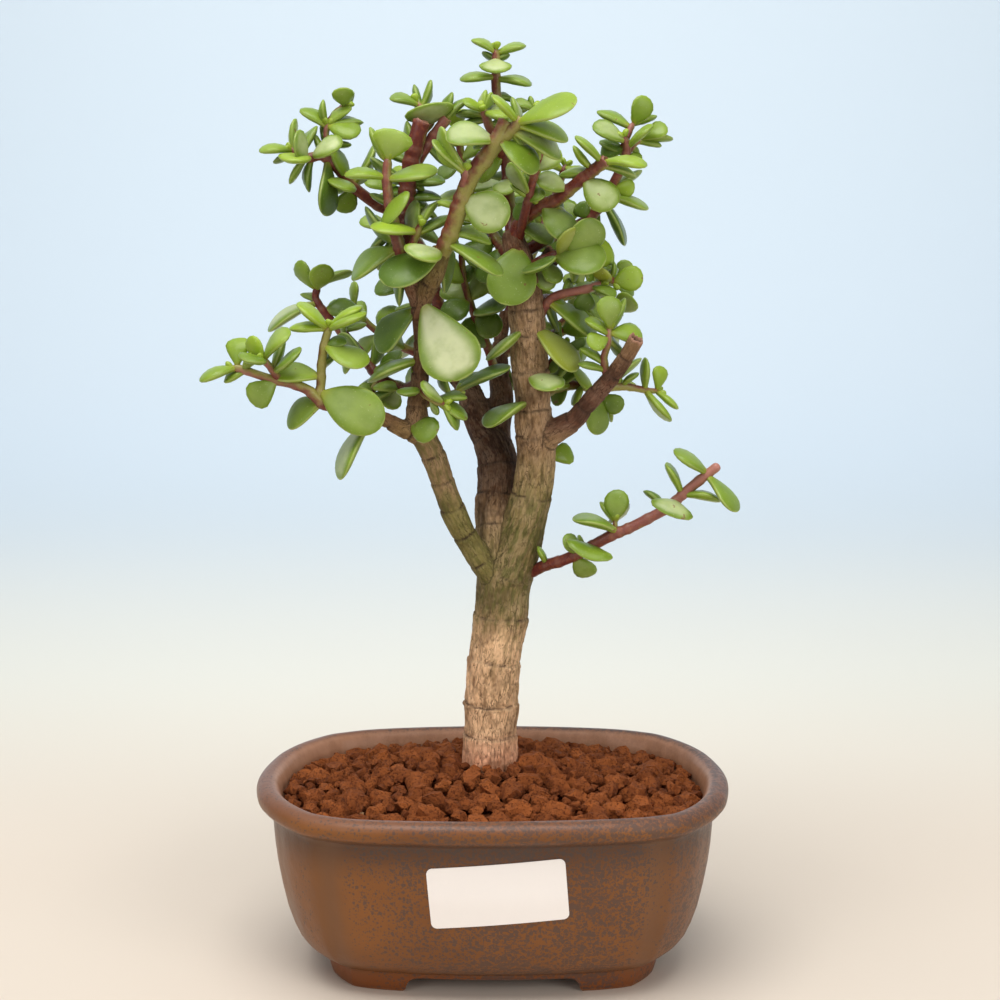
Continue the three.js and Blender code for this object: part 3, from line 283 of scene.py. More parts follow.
plan_stem("left_leader", (2.6, 2.6), [
    (-26.5, -16, 224), (-26.5, -13, 231), (-26, -10, 239), (-24.5, -8, 251), (-21.5, -8, 262.5),
], leaves=[
    (2.4, (-8, 4, -1), 4, DEEP_AND_SHADED), (2.6, (-12, 6, 6), 5, DEEP_AND_SHADED, LEFT), (3.1, (-8, 8, 4), 4, DEEP_AND_SHADED),
    (3.4, (-3, 7, 8), 4.5, MID, LEFT), (1.6, (-10, 6, -8), 3.5, DEEP_AND_SHADED, LEFT),
    (1.3, (-7, 8, -10), 3, DEEP_AND_SHADED, LEFT), (2.2, (9, 8, -4), 4.5, MID), (2.7, (5, 5, -3), 4, FRESH),
    (2.6, (11, 4, 2), 4.5, DEEP_AND_SHADED), (2.2, (10, 5, 2), 4.5, DEEP_AND_SHADED), (1.3, (11, 6, -3), 5, DEEP_AND_SHADED),
    (2.8, (4, 2, 0), 3, MID),
], tint=(1, 0))
plan_stem("left_leader", (1.3, 0.9), [
    (-23.5, -7, 255), (-21.5, -2, 260), (-18.5, 0, 264.5), (-22, 4, 268.5), (-23, 5, 270.5),
], leaves=[
    (1.9, (-1, -8, 5), 14.5, PALE), (3.4, (-9, -1, 3), 4, MID), (3.1, (-3, 3, 5), 4.5, DEEP_AND_SHADED, LEFT),
    (3.1, (3, 5, 8), 3.5, MID, RIGHT),
], tint=(0.7, 0.2))
plan_stem("left_leader", (1.7, 1.6), [
    (-24.5, -7, 248.5), (-20.5, -4, 255.5), (-17.5, -3, 260), (-14, -3, 264.5),
], leaves=[
    (3, (2, 2, 3), 3, MID), (1.3, (6, 5, -4), 4, DEEP_AND_SHADED), (3, (6, 6, 8), 4, MID, LEFT),
    (3, (1, 9, 9), 4.5, MID, LEFT),
], tint=(0.9, 0.6))

plan_stem("left_upper", (2.2, 1.3), [
    (-17, 37, 203), (-21, 28, 221), (-27.5, 14, 233), (-31, 9, 237), (-36, 5, 239.5), (-43, 1, 245),
    (-47.5, -2, 250.5), (-51.5, -4, 253.5), (-56, -5, 253), (-60.5, -6, 255.5),
], leaves=[
    (9, (-10, -3, 0), 3.5, FRESH), (9, (0, 3, 9), 2.5, PALE, LEFT), (8.8, (-7, 5, -2), 2.5, DEEP_AND_SHADED),
    (8.2, (-6, 2, -7), 2.5, PALE, LEFT), (7.9, (-7, -5, 0), 3.5, LIME), (8.5, (2, 6, 9), 5.5, MID, LEFT),
    (8.2, (-2, -4, 6), 5.5, PALE, RIGHT), (7.8, (9, -5, 5), 5.5, PALE), (5.2, (-5, -3, 11), 5, FRESH, RIGHT),
    (5.1, (8, 3, 11), 4.5, FRESH, RIGHT), (5.1, (-4, -6, 0), 5, FRESH), (5, (-6, -2, -1), 1.5, MID),
    (5, (-4, 3, -8), 6.5, MID, RIGHT), (6.8, (0, -3, -17), 6.5, DEEP_AND_SHADED, RIGHT),
    (7.8, (-2, 3, -10), 3.5, DEEP_AND_SHADED, LEFT), (6.4, (-6, 5, 7), 4, MID, LEFT),
], tint=(0.8, 0.1))
plan_stem("left_upper", (1.1, 0.9), [
    (-48.5, -2, 251), (-49.5, 0, 255.5), (-50.5, 1, 259.5), (-50, 1, 263.5),
], leaves=[
    (2.9, (-7, -2, 6), 5, FRESH), (3, (-2, 3, 8), 3, MID, LEFT), (3, (6, 3, 7), 4.5, FRESH),
    (3, (10, -4, -2), 6, FRESH), (3, (10, 6, 2), 4, MID), (1.9, (-2, 6, 4), 3, DEEP_AND_SHADED, LEFT),
    (1.7, (7, 4, 0), 2.5, MID),
], tint=(0.5, 0.4))
plan_stem("left_upper", (0.9, 0.8), [(-50, 2, 264), (-47, 4, 267.5), (-44.5, 4, 269.5)], leaves=[
    (2, (0, -1, 5), 6.5, FRESH, RIGHT), (1.9, (3, 4, 4), 3, MID, RIGHT),
], tint=(0.3, 0))

plan_stem("left_low", (1.9, 1.1), [
    (-42, -20, 178), (-46.5, -21, 179.5), (-50.5, -22, 180.5), (-54.5, -23, 184.5), (-59, -24, 186.5),
    (-65, -25, 188), (-74, -25, 191), (-77, -25, 191.5),
], leaves=[
    (2.2, (-12, 5, -5), 8, MID, LEFT), (4.9, (-8, -2, -6), 8.5, MID), (6.6, (-11, -3, -3), 4, FRESH),
    (5.9, (-6, -6, -2), 4, FRESH), (6.6, (0, 4, 9), 7, FRESH, LEFT), (6.1, (4, -3, 5), 4, MID, RIGHT),
], tint=(0.4, 0.6))
plan_stem("left_low", (1.2, 1), [(-63, -25, 188), (-65, -27, 191.5), (-67.5, -28, 194.5)], leaves=[
    (2, (-4, -3, 7), 5, LIME, LEFT), (2, (8, -2, 9), 5, FRESH), (1, (3, 5, 7), 4, MID, RIGHT),
    (0.8, (7, -3, 7), 3, MID), (1.8, (-5, -6, 2), 3, MID),
], tint=(0.6, 0.9))
plan_stem("left_low", (1.5, 1.2), [
    (-52, -22, 181.5), (-51, -22, 186), (-50.5, -23, 193), (-49.5, -23, 199), (-48, -23, 203.5),
], leaves=[
    (4, (-11, -4, 1), 4, LIME), (4, (-9, -1, 8), 4.5, LIME), (4, (10, -1, 7), 3, LIME),
    (4, (11, -6, 5), 3, FRESH), (2.9, (13, -5, -5), 7, FRESH), (2, (4, 4, 4), 2.5, DEEP_AND_SHADED, RIGHT),
    (0.8, (19, -6, -9), 13, MID), (1.5, (-14, -4, 2), 6.5, FRESH), (2.9, (6, 6, 2), 4, DEEP_AND_SHADED),
], tint=(0.1, 0))

plan_stem("left_mid", (1.9, 1.1), [
    (-22, -13, 186), (-27.5, -4, 183.5), (-35, 4, 186), (-39.5, 9, 190.5), (-43.5, 12, 195.5),
    (-49, 14, 201), (-54, 15, 207), (-56, 16, 210.5), (-55, 16, 214.5),
], leaves=[
    (7.8, (-6, -1, 9), 5.5, MID, LEFT), (7.8, (3, -4, 8), 7.5, FRESH, RIGHT), (8, (9, 3, 5), 4, MID),
    (6.8, (-4, 4, 3), 4.5, MID), (6, (11, 3, 1), 7, DEEP_AND_SHADED), (6.7, (-16, -2, -8), 4.5, PALE),
    (4.9, (7, 5, 3), 3.5, MID), (4.7, (0, -2, 7), 3.5, MID, LEFT), (3.8, (-6, 5, -6), 5, MID, LEFT),
    (3.1, (-7, -2, 9), 5, DEEP_AND_SHADED, LEFT), (2.8, (3, 6, 9), 5.5, DEEP_AND_SHADED, RIGHT), (2.1, (-9, 6, -4), 4, DEEP_AND_SHADED),
    (2, (5, 4, 9), 5.5, DEEP_AND_SHADED), (1.2, (-10, 5, -4), 4.5, DEEP_AND_SHADED), (2.6, (9, -7, 3), 5, MID),
], tint=(1, 0))
plan_stem("left_mid", (1.1, 0.9), [(-35, 4, 185.5), (-37, 3, 183), (-37.5, 2, 180.5)], leaves=[
    (2, (9, -4, -3), 6, PALE), (2, (-4, 3, 2), 3.5, MID), (1.5, (9, -5, 2), 3.5, MID),
])

plan_stem("branch_front", (1.3, 1), [
    (-22, -14, 184), (-19.5, -18, 182.5), (-16.5, -21, 181), (-14, -22, 180.5),
], leaves=[
    (3, (-6, -5, 6), 4, PALE), (2.2, (9, 2, 2), 4, MID), (1.8, (11, -2, -4), 5, MID),
    (3, (5, 5, -8), 4.5, MID, RIGHT), (1.5, (2, -4, -5), 3, PALE, LEFT), (0, (-2, -4, 7), 3, MID, LEFT),
    (0, (-4, -5, -1), 4, MID, LEFT),
])

plan_stem("branch_inner", (1.3, 1), [(-22, -12, 179), (-16, -8, 180.5), (-10.5, -6, 183)], leaves=[
    (2, (16, -3, 9), 4, DEEP_AND_SHADED), (1.7, (-4, 2, 7), 4, DEEP_AND_SHADED, LEFT), (2, (7, 5, 6), 4, DEEP_AND_SHADED),
])

plan_stem("right_upper", (2.2, 1.8), [
    (6, 1, 227), (8, -1, 233), (13.5, -5, 238), (19, -8, 240.5), (23.5, -11, 244), (28.5, -14, 248),
    (33, -17, 251.5),
], leaves=[
    (6, (-8, -2, 8), 3, FRESH), (5.4, (-6, 3, 7), 2.5, LIME, LEFT), (6, (13, -3, 0), 4, LIME),
    (5.8, (10, 5, -1), 5, MID), (4.8, (9, -6, -8), 9.5, PALE), (3.9, (-9, -3, 4), 6, PALE),
    (2.6, (-7, 4, 10), 4, FRESH, LEFT), (2.3, (-9, -3, 7), 4.5, FRESH), (2, (-7, 5, -1), 5.5, DEEP_AND_SHADED),
    (5.1, (-7, 4, 2), 5.5, MID), (3, (3, 6, -3), 4.5, DEEP_AND_SHADED, RIGHT), (2.8, (6, 3, -5), 3.5, YELLOWED),
    (1.1, (11, -5, -4), 6, MID), (2.4, (8, -6, -10), 8.5, MID, RIGHT),
], tint=(0.8, 0))
plan_stem("right_upper", (1.5, 1), [
    (8, 0, 229), (10, -8, 238), (12, -13, 246), (14, -15, 253), (15, -16, 260),
], leaves=[
    (4, (-4, 2, 2), 3, MID), (2.5, (7, -3, 6), 6.5, PALE), (3, (-3, -3, 8), 4.5, PALE, LEFT),
    (1.6, (-6, 2, 9), 5, PALE, LEFT), (1.3, (5, 3, 3), 4, MID), (2.2, (-4, 5, 6), 4, DEEP_AND_SHADED),
    (3.2, (5, 4, 7), 4, MID, RIGHT),
], tint=(1, 0.2))

plan_stem("right_top", (2, 1.2), [
    (8, 0, 224), (21, 8, 231), (28.5, 8, 234), (33, 6, 239), (36.5, 3, 245), (40, 0, 252.5),
    (40.5, -1, 256.5), (39.5, -2, 259.5),
], leaves=[
    (6.7, (-10, -3, 5), 5.5, PALE), (6.1, (7, -4, 7), 3, FRESH), (6.1, (-8, 3, -1), 6.5, DEEP_AND_SHADED),
    (5.5, (-7, 5, 5), 4.5, DEEP_AND_SHADED), (5.1, (5, -3, 1), 4, MID), (4, (7, -3, 0), 5.5, FRESH),
    (3.7, (8, 4, 7), 4, PALE), (3.6, (13, -3, -3), 3.5, FRESH), (3.4, (8, -2, -13), 3, DEEP_AND_SHADED, RIGHT),
    (3, (-3, 5, -4), 7, MID, LEFT), (2, (5, 3, -5), 7, MID, RIGHT), (2.4, (-4, 4, 4), 5.5, DEEP_AND_SHADED),
], tint=(0.8, 0.2))
plan_stem("right_top", (1.1, 0.9), [(39.5, -1, 256.5), (41.5, 1, 261.5), (43, 2, 264)], leaves=[
    (2, (4, -2, 8), 6.5, FRESH, RIGHT), (1.5, (-9, 2, 6), 4.5, MID), (2, (6, 5, 3), 3.5, MID),
], tint=(0.8, 0.7))
plan_stem("right_top", (1.2, 1), [(40.5, 0, 254.5), (43, 2, 257.5), (45.5, 3, 259)], leaves=[
    (2, (8, -2, 4), 5.5, FRESH), (1.9, (10, 3, 1), 3.5, MID), (1.6, (7, -4, -1), 3, MID),
    (0.9, (2, -3, -4), 3, MID, RIGHT),
], tint=(0.8, 0.7))

plan_stem("right_mid", (1.9, 1.2), [
    (10, -1, 219), (14.5, -4, 222), (20.5, -6, 224), (28, -7, 222), (33.5, -6, 218.5), (37, -5, 215.5),
], leaves=[
    (1.8, (15, -8, -2), 10, MID), (2.4, (9, -4, 10), 9.5, MID, RIGHT), (2, (5, -8, 8), 6.5, YELLOWED, RIGHT),
    (3.1, (9, 3, 4), 8.5, LIME, RIGHT), (4.9, (-5, -3, 4), 4.5, YELLOWED, LEFT),
    (4.8, (2, 4, 5), 2.5, MID, RIGHT), (5, (9, -2, 2), 7.5, FRESH), (0.3, (8, -7, -5), 6.5, PALE),
    (0.6, (3, -8, 1), 4, DEEP_AND_SHADED), (1.2, (6, 2, -6), 5.5, MID, RIGHT), (2.4, (4, 4, -7), 5.5, MID, RIGHT),
    (3.1, (2, 2, -6), 3.5, MID, RIGHT),
], tint=(0.7, 0))

plan_stem("right_low", (1.5, 1.3), [
    (13, -2, 201), (15, -3, 207), (18, -4, 211), (22, -5, 212.5), (29, -6, 214), (33, -5, 215.5),
], leaves=[
    (4.4, (7, -3, -2), 3.5, MID), (4, (0, 4, -7), 6.5, DEEP_AND_SHADED, RIGHT), (3, (3, 4, 4), 4, MID, RIGHT),
    (1.6, (4, 4, -6), 4.5, DEEP_AND_SHADED, RIGHT), (1.8, (16, -5, -9), 6.5, MID), (1.8, (6, 5, -1), 4, MID),
    (4.9, (5, 3, 3), 2.5, MID),
], tint=(1, 0.9))

plan_stem("right_back_high", (1.9, 1.1), [
    (11, 1, 210), (17, 12, 210), (24, 20, 211), (33, 27, 214), (42, 32, 218),
], leaves=[(3.8, (5, -3, 4), 5.5, MID), (3.6, (8, -3, -4), 6.5, MID), (3.8, (-4, 3, 6), 5, DEEP_AND_SHADED)], pairs=[
    (3.9, 12, 0, 25), (3.2, 12, 90, 15), (2.5, 13, 0, 10), (1.7, 13, 90, 10),
])

plan_stem("right_back_mid", (1.8, 1.1), [
    (12, 0, 198), (19, 13, 199), (26, 22, 201), (33, 28, 203), (39, 31, 206),
], pairs=[(4, 11, 90, 50), (3.5, 11, 0, 30), (2.8, 12, 90, 20), (2.1, 13, 0, 10), (1.4, 13, 90, 10)])

plan_stem("right_back_low", (1.7, 1.1), [
    (12.5, 0, 180), (20, 8, 182.5), (27, 12, 183), (32.5, 15, 180.5), (36, 17, 178),
], leaves=[
    (3.6, (7, -3, -4), 6.5, MID), (3.6, (4, 2, -7), 4, MID, RIGHT), (3.1, (1, -2, -13), 7.5, MID, RIGHT),
    (2.7, (-10, 4, 5), 7.5, DEEP_AND_SHADED), (2.7, (-3, -5, 5), 2.5, LIME), (1.8, (-7, -5, -1), 2, FRESH),
    (1.6, (-5, 5, -6), 5, DEEP_AND_SHADED), (2.3, (-3, -4, -5), 3, FRESH, LEFT), (1.2, (6, 6, 6), 5, DEEP_AND_SHADED),
    (0.8, (6, 4, 9), 5, MID), (2.9, (14, 6, 2), 3, MID), (3.2, (14, 6, 11), 3.5, MID),
])
plan_stem("right_back_low", (1.2, 1), [(16, 3, 188), (19.5, 6, 192.5), (23, 8, 196)], leaves=[
    (1, (-1, -2, -4), 4, MID, LEFT), (1.4, (4, 3, -4), 5, MID), (1.8, (7, -2, 2), 4.5, DEEP_AND_SHADED),
    (1.8, (-2, -2, 8), 3.5, MID, LEFT), (1.3, (-3, 3, 3), 3.5, DEEP_AND_SHADED),
])

plan_stem("stub_upright", (1.3, 0.9), [
    (35, -12, 186), (33.5, -13, 193), (34.5, -14, 197.5), (35, -14, 203),
], leaves=[
    (3, (-1, -3, 10), 7.5, FRESH, RIGHT), (3, (5, 4, 7), 3, MID, RIGHT), (2.8, (10, -3, 0), 6.5, FRESH),
    (2.5, (-6, -6, -1), 6, FRESH, LEFT), (2.4, (4, 3, -4), 3, MID, RIGHT), (2.7, (-7, -2, 5), 3.5, FRESH),
    (2.9, (-5, 4, 4), 2.5, PALE), (0.9, (-7, 3, 5), 3.5, MID), (0.6, (-8, 5, 2), 3, MID),
], tint=(0.55, 0.9))

plan_stem("stub_right", (1.5, 0.8), [
    (33, -10, 184), (38.5, -8, 184.5), (42.5, -7, 184), (47, -5, 183), (51, -3, 182.5),
], leaves=[
    (3.1, (-1, -2, 10), 3.5, FRESH, LEFT), (4, (1, -2, 8), 5, FRESH, RIGHT), (4, (7, -2, -5), 2.5, LIME),
    (3.1, (7, -3, -10), 3.5, FRESH, LEFT), (1.2, (-1, -6, 7), 3.5, PALE, LEFT), (1.4, (5, 4, 4), 2.5, MID),
], tint=(0.2, 0.4))
plan_stem("stub_right", (1, 0.8), [(13, 3, 160), (15.5, 4.5, 160.6), (17.5, 5.5, 161)], leaves=[
    (2, (8.5, 0.5, 1.8), 7, FRESH),
])

plan_stem("lower_right", (1.95, 1.5), [
    (8, 6, 123.5), (13, 3, 125.3), (16.5, -1, 127.8), (21, -5, 129.8), (27, -8, 133), (33, -9, 136.7),
    (37, -10, 139), (42, -11, 141.3), (48, -12, 144.6), (53.5, -13, 148), (58.7, -14, 153), (63.2, -15, 157),
    (67.3, -16, 160.5),
], leaves=[
    (4.7, (-1.6, -9, -1.6), 14.5, MID, RIGHT), (4.2, (0, 8, 2), 3.5, PALE),
    (3.8, (6, 3, -7), 6.5, MID, LEFT), (4, (-4, 4, 5), 5, MID), (6.5, (-14, -2, 5), 4, MID),
    (9.5, (-2.2, -9, -2), 13, PALE, RIGHT), (9, (-6, 5, 5), 2.5, DEEP_AND_SHADED), (9.9, (-5, -1, 10), 3, FRESH, RIGHT),
    (9.9, (12, -1, -0.6), 3, FRESH), (11.6, (-10, -1, 8), 4.5, MID), (11.5, (10, -1, -10), 5, MID),
    (2.2, (-2, 4, 5), 2.5, FRESH, RIGHT),
], tint=(1, 0.8), blunt=True)
plan_stem("lower_right", (0.9, 0.8), [(37, -10, 139.5), (37.5, -10, 141.5), (37.5, -10, 144)], leaves=[
    (2, (1, -1, 10), 7.5, MID, RIGHT), (2, (-4, 3, 5), 2, PALE, LEFT), (2, (3, 3, 3), 2, PALE),
], tint=(0.3, 0))

plan_stem("back_left_tip", (1.8, 1.1), [
    (-16, 36, 195), (-24, 41, 208), (-30, 41, 221), (-33, 38, 234), (-34, 36, 245),
], pairs=[
    (4, 9, 0, 50), (3.5, 10, 90, 30), (2.9, 11, 0, 20), (2.2, 12, 90, 15), (1.5, 12, 0, 10),
    (0.9, 12, 90, 10),
])

plan_stem("back_right_tip", (1.8, 1.1), [
    (4, 39, 202), (8, 42, 212), (12, 44, 224), (14, 43, 236), (13, 39, 247),
], pairs=[
    (4, 9, 90, 50), (3.5, 10, 0, 30), (2.9, 11, 90, 20), (2.2, 12, 0, 15), (1.5, 12, 90, 10),
    (0.8, 12, 0, 10),
])

plan_stem("crown_right", (1.9, 1.1), [(9, 0, 215), (13, 14, 227), (19, 23, 240), (23, 25, 252)], leaves=[
    (1, (-5, -6, 10), 7, DEEP_AND_SHADED, LEFT), (2, (-5, -4, 8), 5.5, MID), (2, (8, -5, -3), 7, MID),
    (3, (6, -4, -3), 5, MID), (1.6, (5, -6, -9), 8.5, DEEP_AND_SHADED), (1.3, (-8, -7, -5), 6, DEEP_AND_SHADED),
], pairs=[(2.9, 11, 0, 20), (2.2, 12, 90, 15), (1.5, 13, 0, 10), (0.9, 13, 90, 10)])

plan_stem("crown_left", (1.9, 1.1), [
    (8, 1, 219), (0, 15, 230), (-7, 24, 242), (-10, 26, 254), (-11, 25, 263),
], leaves=[
    (2, (-5, -4, -7), 8.5, MID), (1, (-8, -5, -8), 9, DEEP_AND_SHADED), (1.6, (6, -3, 7), 7, PALE),
    (3, (6, -4, 6), 5, MID), (3, (-7, -4, -5), 5, DEEP_AND_SHADED, LEFT), (0.7, (-7, -6, -10), 7.5, DEEP_AND_SHADED),
    (0.6, (8, -6, 6), 5.5, MID),
], pairs=[
    (4, 9, 90, 50), (3.5, 10, 0, 30), (2.9, 11, 90, 20), (2.2, 12, 0, 15), (1.5, 13, 90, 10),
    (0.9, 13, 0, 10),
])

plan_stem("inner_back", (1.6, 1), [
    (1, 30, 184), (-2, 24, 195), (-6, 20, 205), (-9, 17, 215), (-10, 14, 225),
], leaves=[
    (3.1, (-7, -6, 7), 7, MID), (2, (8, -7, -4), 8.5, DEEP_AND_SHADED), (1, (-8, -6, 8), 8.5, DEEP_AND_SHADED),
    (4, (6, -4, 4), 4, MID), (4, (-5, -4, 7), 5, MID, LEFT), (2.5, (-8, -6, -5), 7.5, DEEP_AND_SHADED),
    (2.1, (9, -4, 3), 5, DEEP_AND_SHADED), (3, (2, -3, 7), 4.5, DEEP_AND_SHADED),
], pairs=[(4, 11, 0, 50), (3.3, 12, 90, 30), (2.5, 13, 0, 15), (1.7, 13, 90, 10)])

plan_stem("back_left_low", (1.7, 1), [
    (-12, 30, 187), (-21, 35, 190), (-31, 38, 194), (-40, 38, 200), (-46, 36, 207),
], pairs=[(4, 9, 0, 50), (3.4, 10, 90, 30), (2.7, 11, 0, 20), (1.9, 12, 90, 10), (1.2, 12, 0, 10)])

plan_stem("back_right_low", (1.7, 1), [
    (2, 34, 191), (11, 40, 194), (20, 44, 199), (28, 45, 206), (33, 43, 214),
], leaves=[(0.2, (2, -6, -12), 7, DEEP_AND_SHADED, LEFT)], pairs=[
    (4, 9, 90, 50), (3.4, 10, 0, 30), (2.7, 11, 90, 20), (1.9, 12, 0, 10), (1.2, 12, 90, 10),
])

# Leaves that grow from the wood, as (root, reach, how wide it looks, tone, the side it leans to).
SINGLE_LEAVES = {
    "leaf_big_pale": ((-21, -17, 211), (13, -9, -22), 17, (0.4, 1, 0)),
    "leaf_centre": ((8, -1, 227), (-4, -12, -16.5), 14, MID),
    "leaf_hanging": ((-36, -17, 176), (-10, -6, -18), 5.5, PALE, LEFT),
    "leaf_fork": ((-25, -14, 173), (8, -8, -0.5), 8, MID),
    "leaf_behind_fork": ((-22, -15, 209), (-14, 4, -12), 9, DEEP_AND_SHADED),
    "leaf_branch_left": ((-21, -15, 193), (-17, 2, -6), 4, MID),
    "leaf_trunk_right": ((11, -4, 187), (8.5, -11, -1.5), 6, PALE),
    "leaf_trunk_left": ((11, -2, 179), (-12.5, -11, -6), 5, MID),
    "leaf_trunk_high": ((10, -3, 202), (-12, -6, -9), 3, PALE),
    "leaf_trunk_yellow": ((12, -3, 203), (13.5, -9, -12.5), 7.5, YELLOWED, RIGHT),
}
LEAF_WIDTH_TO_LENGTH = 0.74
FULL_WIDTH = 13  # a leaf is made no wider, unless it looks wider
EDGE_WIDTH = 2.4  # how wide a leaf looks edge on
LEAF_CUP = 0.05  # how far the tip bends down, to the leaf's length
CROWN_MIDDLE = (0, 8, 212)  # leaves turn their faces outwards from here, upwards and to the front
CROWN_REACH = 80
LIGHT = (0, -1.5, 0.4)
LENGTH_VARIES = 0.08
ANGLE_VARIES = 9  # degrees
TWIST_VARIES = 14
LEAF_CLEAR = 0.45  # air between the faces of neighbouring leaves
# Turns that bring a leaf clear of its neighbours, as (lift, swing), tried in this order.
CLEAR_TURNS = [
    (0, 0), (14, 0), (-14, 0), (0, 18), (0, -18), (28, 0), (-28, 0), (0, 34), (0, -34),
    (22, 24), (22, -24), (-22, 24), (-22, -24), (42, 0), (-42, 0), (36, 40), (36, -40),
]
CLEAR_SIZES = [1, 0.8]
ROOT_SINK = 0.9  # how deep a leaf's root stands in its stem
LEAF_SHIFTS = [0, -2, 2, -4, 4, -6, 6, 8]  # tries for a planned leaf's tip, nearer or farther
SHIFT_COST = 0.1
NEIGHBOUR_REACH = 42  # leaves rooted farther apart can't meet
LEAF_ROOM = 0.6  # air to the sides of the plant's room


# -------------------------------- small helpers
dice = random.Random(31)
leaf_seed = 20240


def draw():
    """An even random number from -1 to 1, the same on every run."""
    global leaf_seed
    leaf_seed = (leaf_seed * 16807) % 2147483647
    return (2 * leaf_seed) / 2147483647 - 1


def in_frame(points):
    """Millimetres from the middle of the pot's foot, as metres in the frame."""
    return np.asarray(points, float) * MM + POT_MIDDLE


def unit(vector):
    return vector / np.linalg.norm(vector)


def rise(value, start, end):
    """0 up to the start, 1 from the end on, and a straight slope between."""
    return max(0.0, min(1.0, (value - start) / (end - start)))


def bell(away, width):
    """1 at no distance, and falling off in a bell's shape."""
    return math.exp(-((away / width) ** 2))


def turned(vector, axis, angle):
    """A vector turned about a unit axis."""
    along = axis * axis.dot(vector) * (1 - math.cos(angle))
    return vector * math.cos(angle) + np.cross(axis, vector) * math.sin(angle) + along


def clear_selection():
    for item in list(bpy.context.selected_objects):
        item.select_set(False)


def only(piece):
    clear_selection()
    piece.select_set(True)
    bpy.context.view_layer.objects.active = piece


def settle(piece):
    """Puts the piece's place into its mesh, so that its object stands at the origin."""
    only(piece)
    bpy.ops.object.transform_apply(location=True, rotation=True, scale=True)


def apply_modifier(piece, kind, **settings):
    only(piece)
    modifier = piece.modifiers.new(kind.lower(), kind)
    for name, value in settings.items():
        setattr(modifier, name, value)
    bpy.ops.object.modifier_apply(modifier=modifier.name)


def join(name, pieces):
    only(pieces[0])
    for piece in pieces:
        piece.select_set(True)
    bpy.ops.object.join()
    pieces[0].name = name
    return pieces[0]


def copy_of(master, name):
    """A copy with a mesh of its own."""
    made = master.copy()
    made.data = master.data.copy()
    made.name = name
    bpy.context.scene.collection.objects.link(made)
    return made


def points_of(piece, kind="co"):
    """The places of a mesh's points, or with kind normal their normals."""
    found = np.empty(len(piece.data.vertices) * 3)
    piece.data.vertices.foreach_get(kind, found)
    return found.reshape(-1, 3)


def plan_points_of(piece):
    return (points_of(piece) - POT_MIDDLE) / MM


def move_points(piece, points):
    piece.data.vertices.foreach_set("co", np.asarray(points, float).ravel())
    piece.data.update()


def paint(piece, name, kind, values):
    """Stores a value for each point of the mesh: kind is FLOAT, FLOAT_VECTOR or FLOAT_COLOR."""
    field = {"FLOAT": "value", "FLOAT_VECTOR": "vector", "FLOAT_COLOR": "color"}[kind]
    layer = piece.data.attributes.get(name) or piece.data.attributes.new(name, kind, "POINT")
    layer.data.foreach_set(field, np.asarray(values, np.float32).ravel())


def edit_all():
    """Opens the active piece's mesh with all of it selected."""
    bpy.ops.object.mode_set(mode="EDIT")
    bpy.ops.mesh.select_all(action="SELECT")


def smooth(piece, angle):
    only(piece)
    bpy.ops.object.shade_smooth_by_angle(angle=math.radians(angle), keep_sharp_edges=False)


def draw_skin(name, rings, open_ends=False):
    """A circle extruded from ring to ring of points in millimetres, closed at both ends."""
    clear_selection()
    bpy.ops.mesh.primitive_circle_add(
        vertices=len(rings[0]), radius=MM, location=in_frame(np.mean(rings[0], axis=0)),
        fill_type="NOTHING" if open_ends else "NGON",
    )
    piece = bpy.context.object
    piece.name = name
    settle(piece)
    bpy.ops.object.mode_set(mode="EDIT")
    bpy.ops.mesh.select_mode(type="EDGE")
    bpy.ops.mesh.select_all(action="SELECT")
    mesh = bmesh.from_edit_mesh(piece.data)
    turn = mesh.verts.layers.int.new("turn")
    for number, vert in enumerate(mesh.verts):
        vert[turn] = number
    for number, ring in enumerate(rings):
        if number:
            bpy.ops.mesh.extrude_edges_move()
        mesh = bmesh.from_edit_mesh(piece.data)
        turn = mesh.verts.layers.int["turn"]
        ring = in_frame(ring)
        for vert in mesh.verts:
            if vert.select:
                vert.co = ring[vert[turn]]
    if not open_ends:
        bpy.ops.mesh.edge_face_add()
    bpy.ops.mesh.select_all(action="SELECT")
    bpy.ops.mesh.remove_doubles(threshold=MM / 1000)
    bpy.ops.mesh.normals_make_consistent(inside=False)
    bpy.ops.object.mode_set(mode="OBJECT")
    piece.data.attributes.remove(piece.data.attributes["turn"])
    return piece


def finish_piece(piece, slot, *nodes):
    """Hangs a finished piece on the frame in place of the nodes that it stands for."""
    clear_selection()
    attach(piece, "root")
    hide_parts(*nodes)


# -------------------------------- curves
def smooth_point(route, at, closed=False):
    """A point on the smooth curve through a route's points; `at` counts the points."""
    count = len(route)
    first = math.floor(at)
    if not closed:
        first = min(first, count - 2)
    part = at - first
    b, c = route[first % count], route[(first + 1) % count]
    a = route[(first - 1) % count] if closed or first > 0 else 2 * b - c
    d = route[(first + 2) % count] if closed or first + 2 < count else 2 * c - b
    start, end = (c - a) / 2, (d - b) / 2
    square = -3 * b + 3 * c - 2 * start - end
    cube = 2 * b - 2 * c + start + end
    return b + start * part + square * part**2 + cube * part**3


def lip_route():
    quarters = [(1, 1), (-1, 1), (-1, -1), (1, -1)]
    route = []
    for side_x, side_y in quarters:
        corner = [(side_x * x, side_y * y) for x, y in LIP_PLAN]
        route += (corner if side_x * side_y > 0 else corner[::-1])[:-1]
    return np.array(route, float)


LIP_ROUTE = lip_route()


def plan_point(turn, inset):
    """A point of the pot's plan, moved inwards from the lip; turn is from 0 to 1."""
    at = (turn % 1) * len(LIP_ROUTE)
    step = 0.0001 * len(LIP_ROUTE)
    point = smooth_point(LIP_ROUTE, at, closed=True)
    before, after = (smooth_point(LIP_ROUTE, at + move, closed=True) for move in (-step, step))
    along = unit(after - before)
    return point + np.array([-along[1], along[0]]) * inset


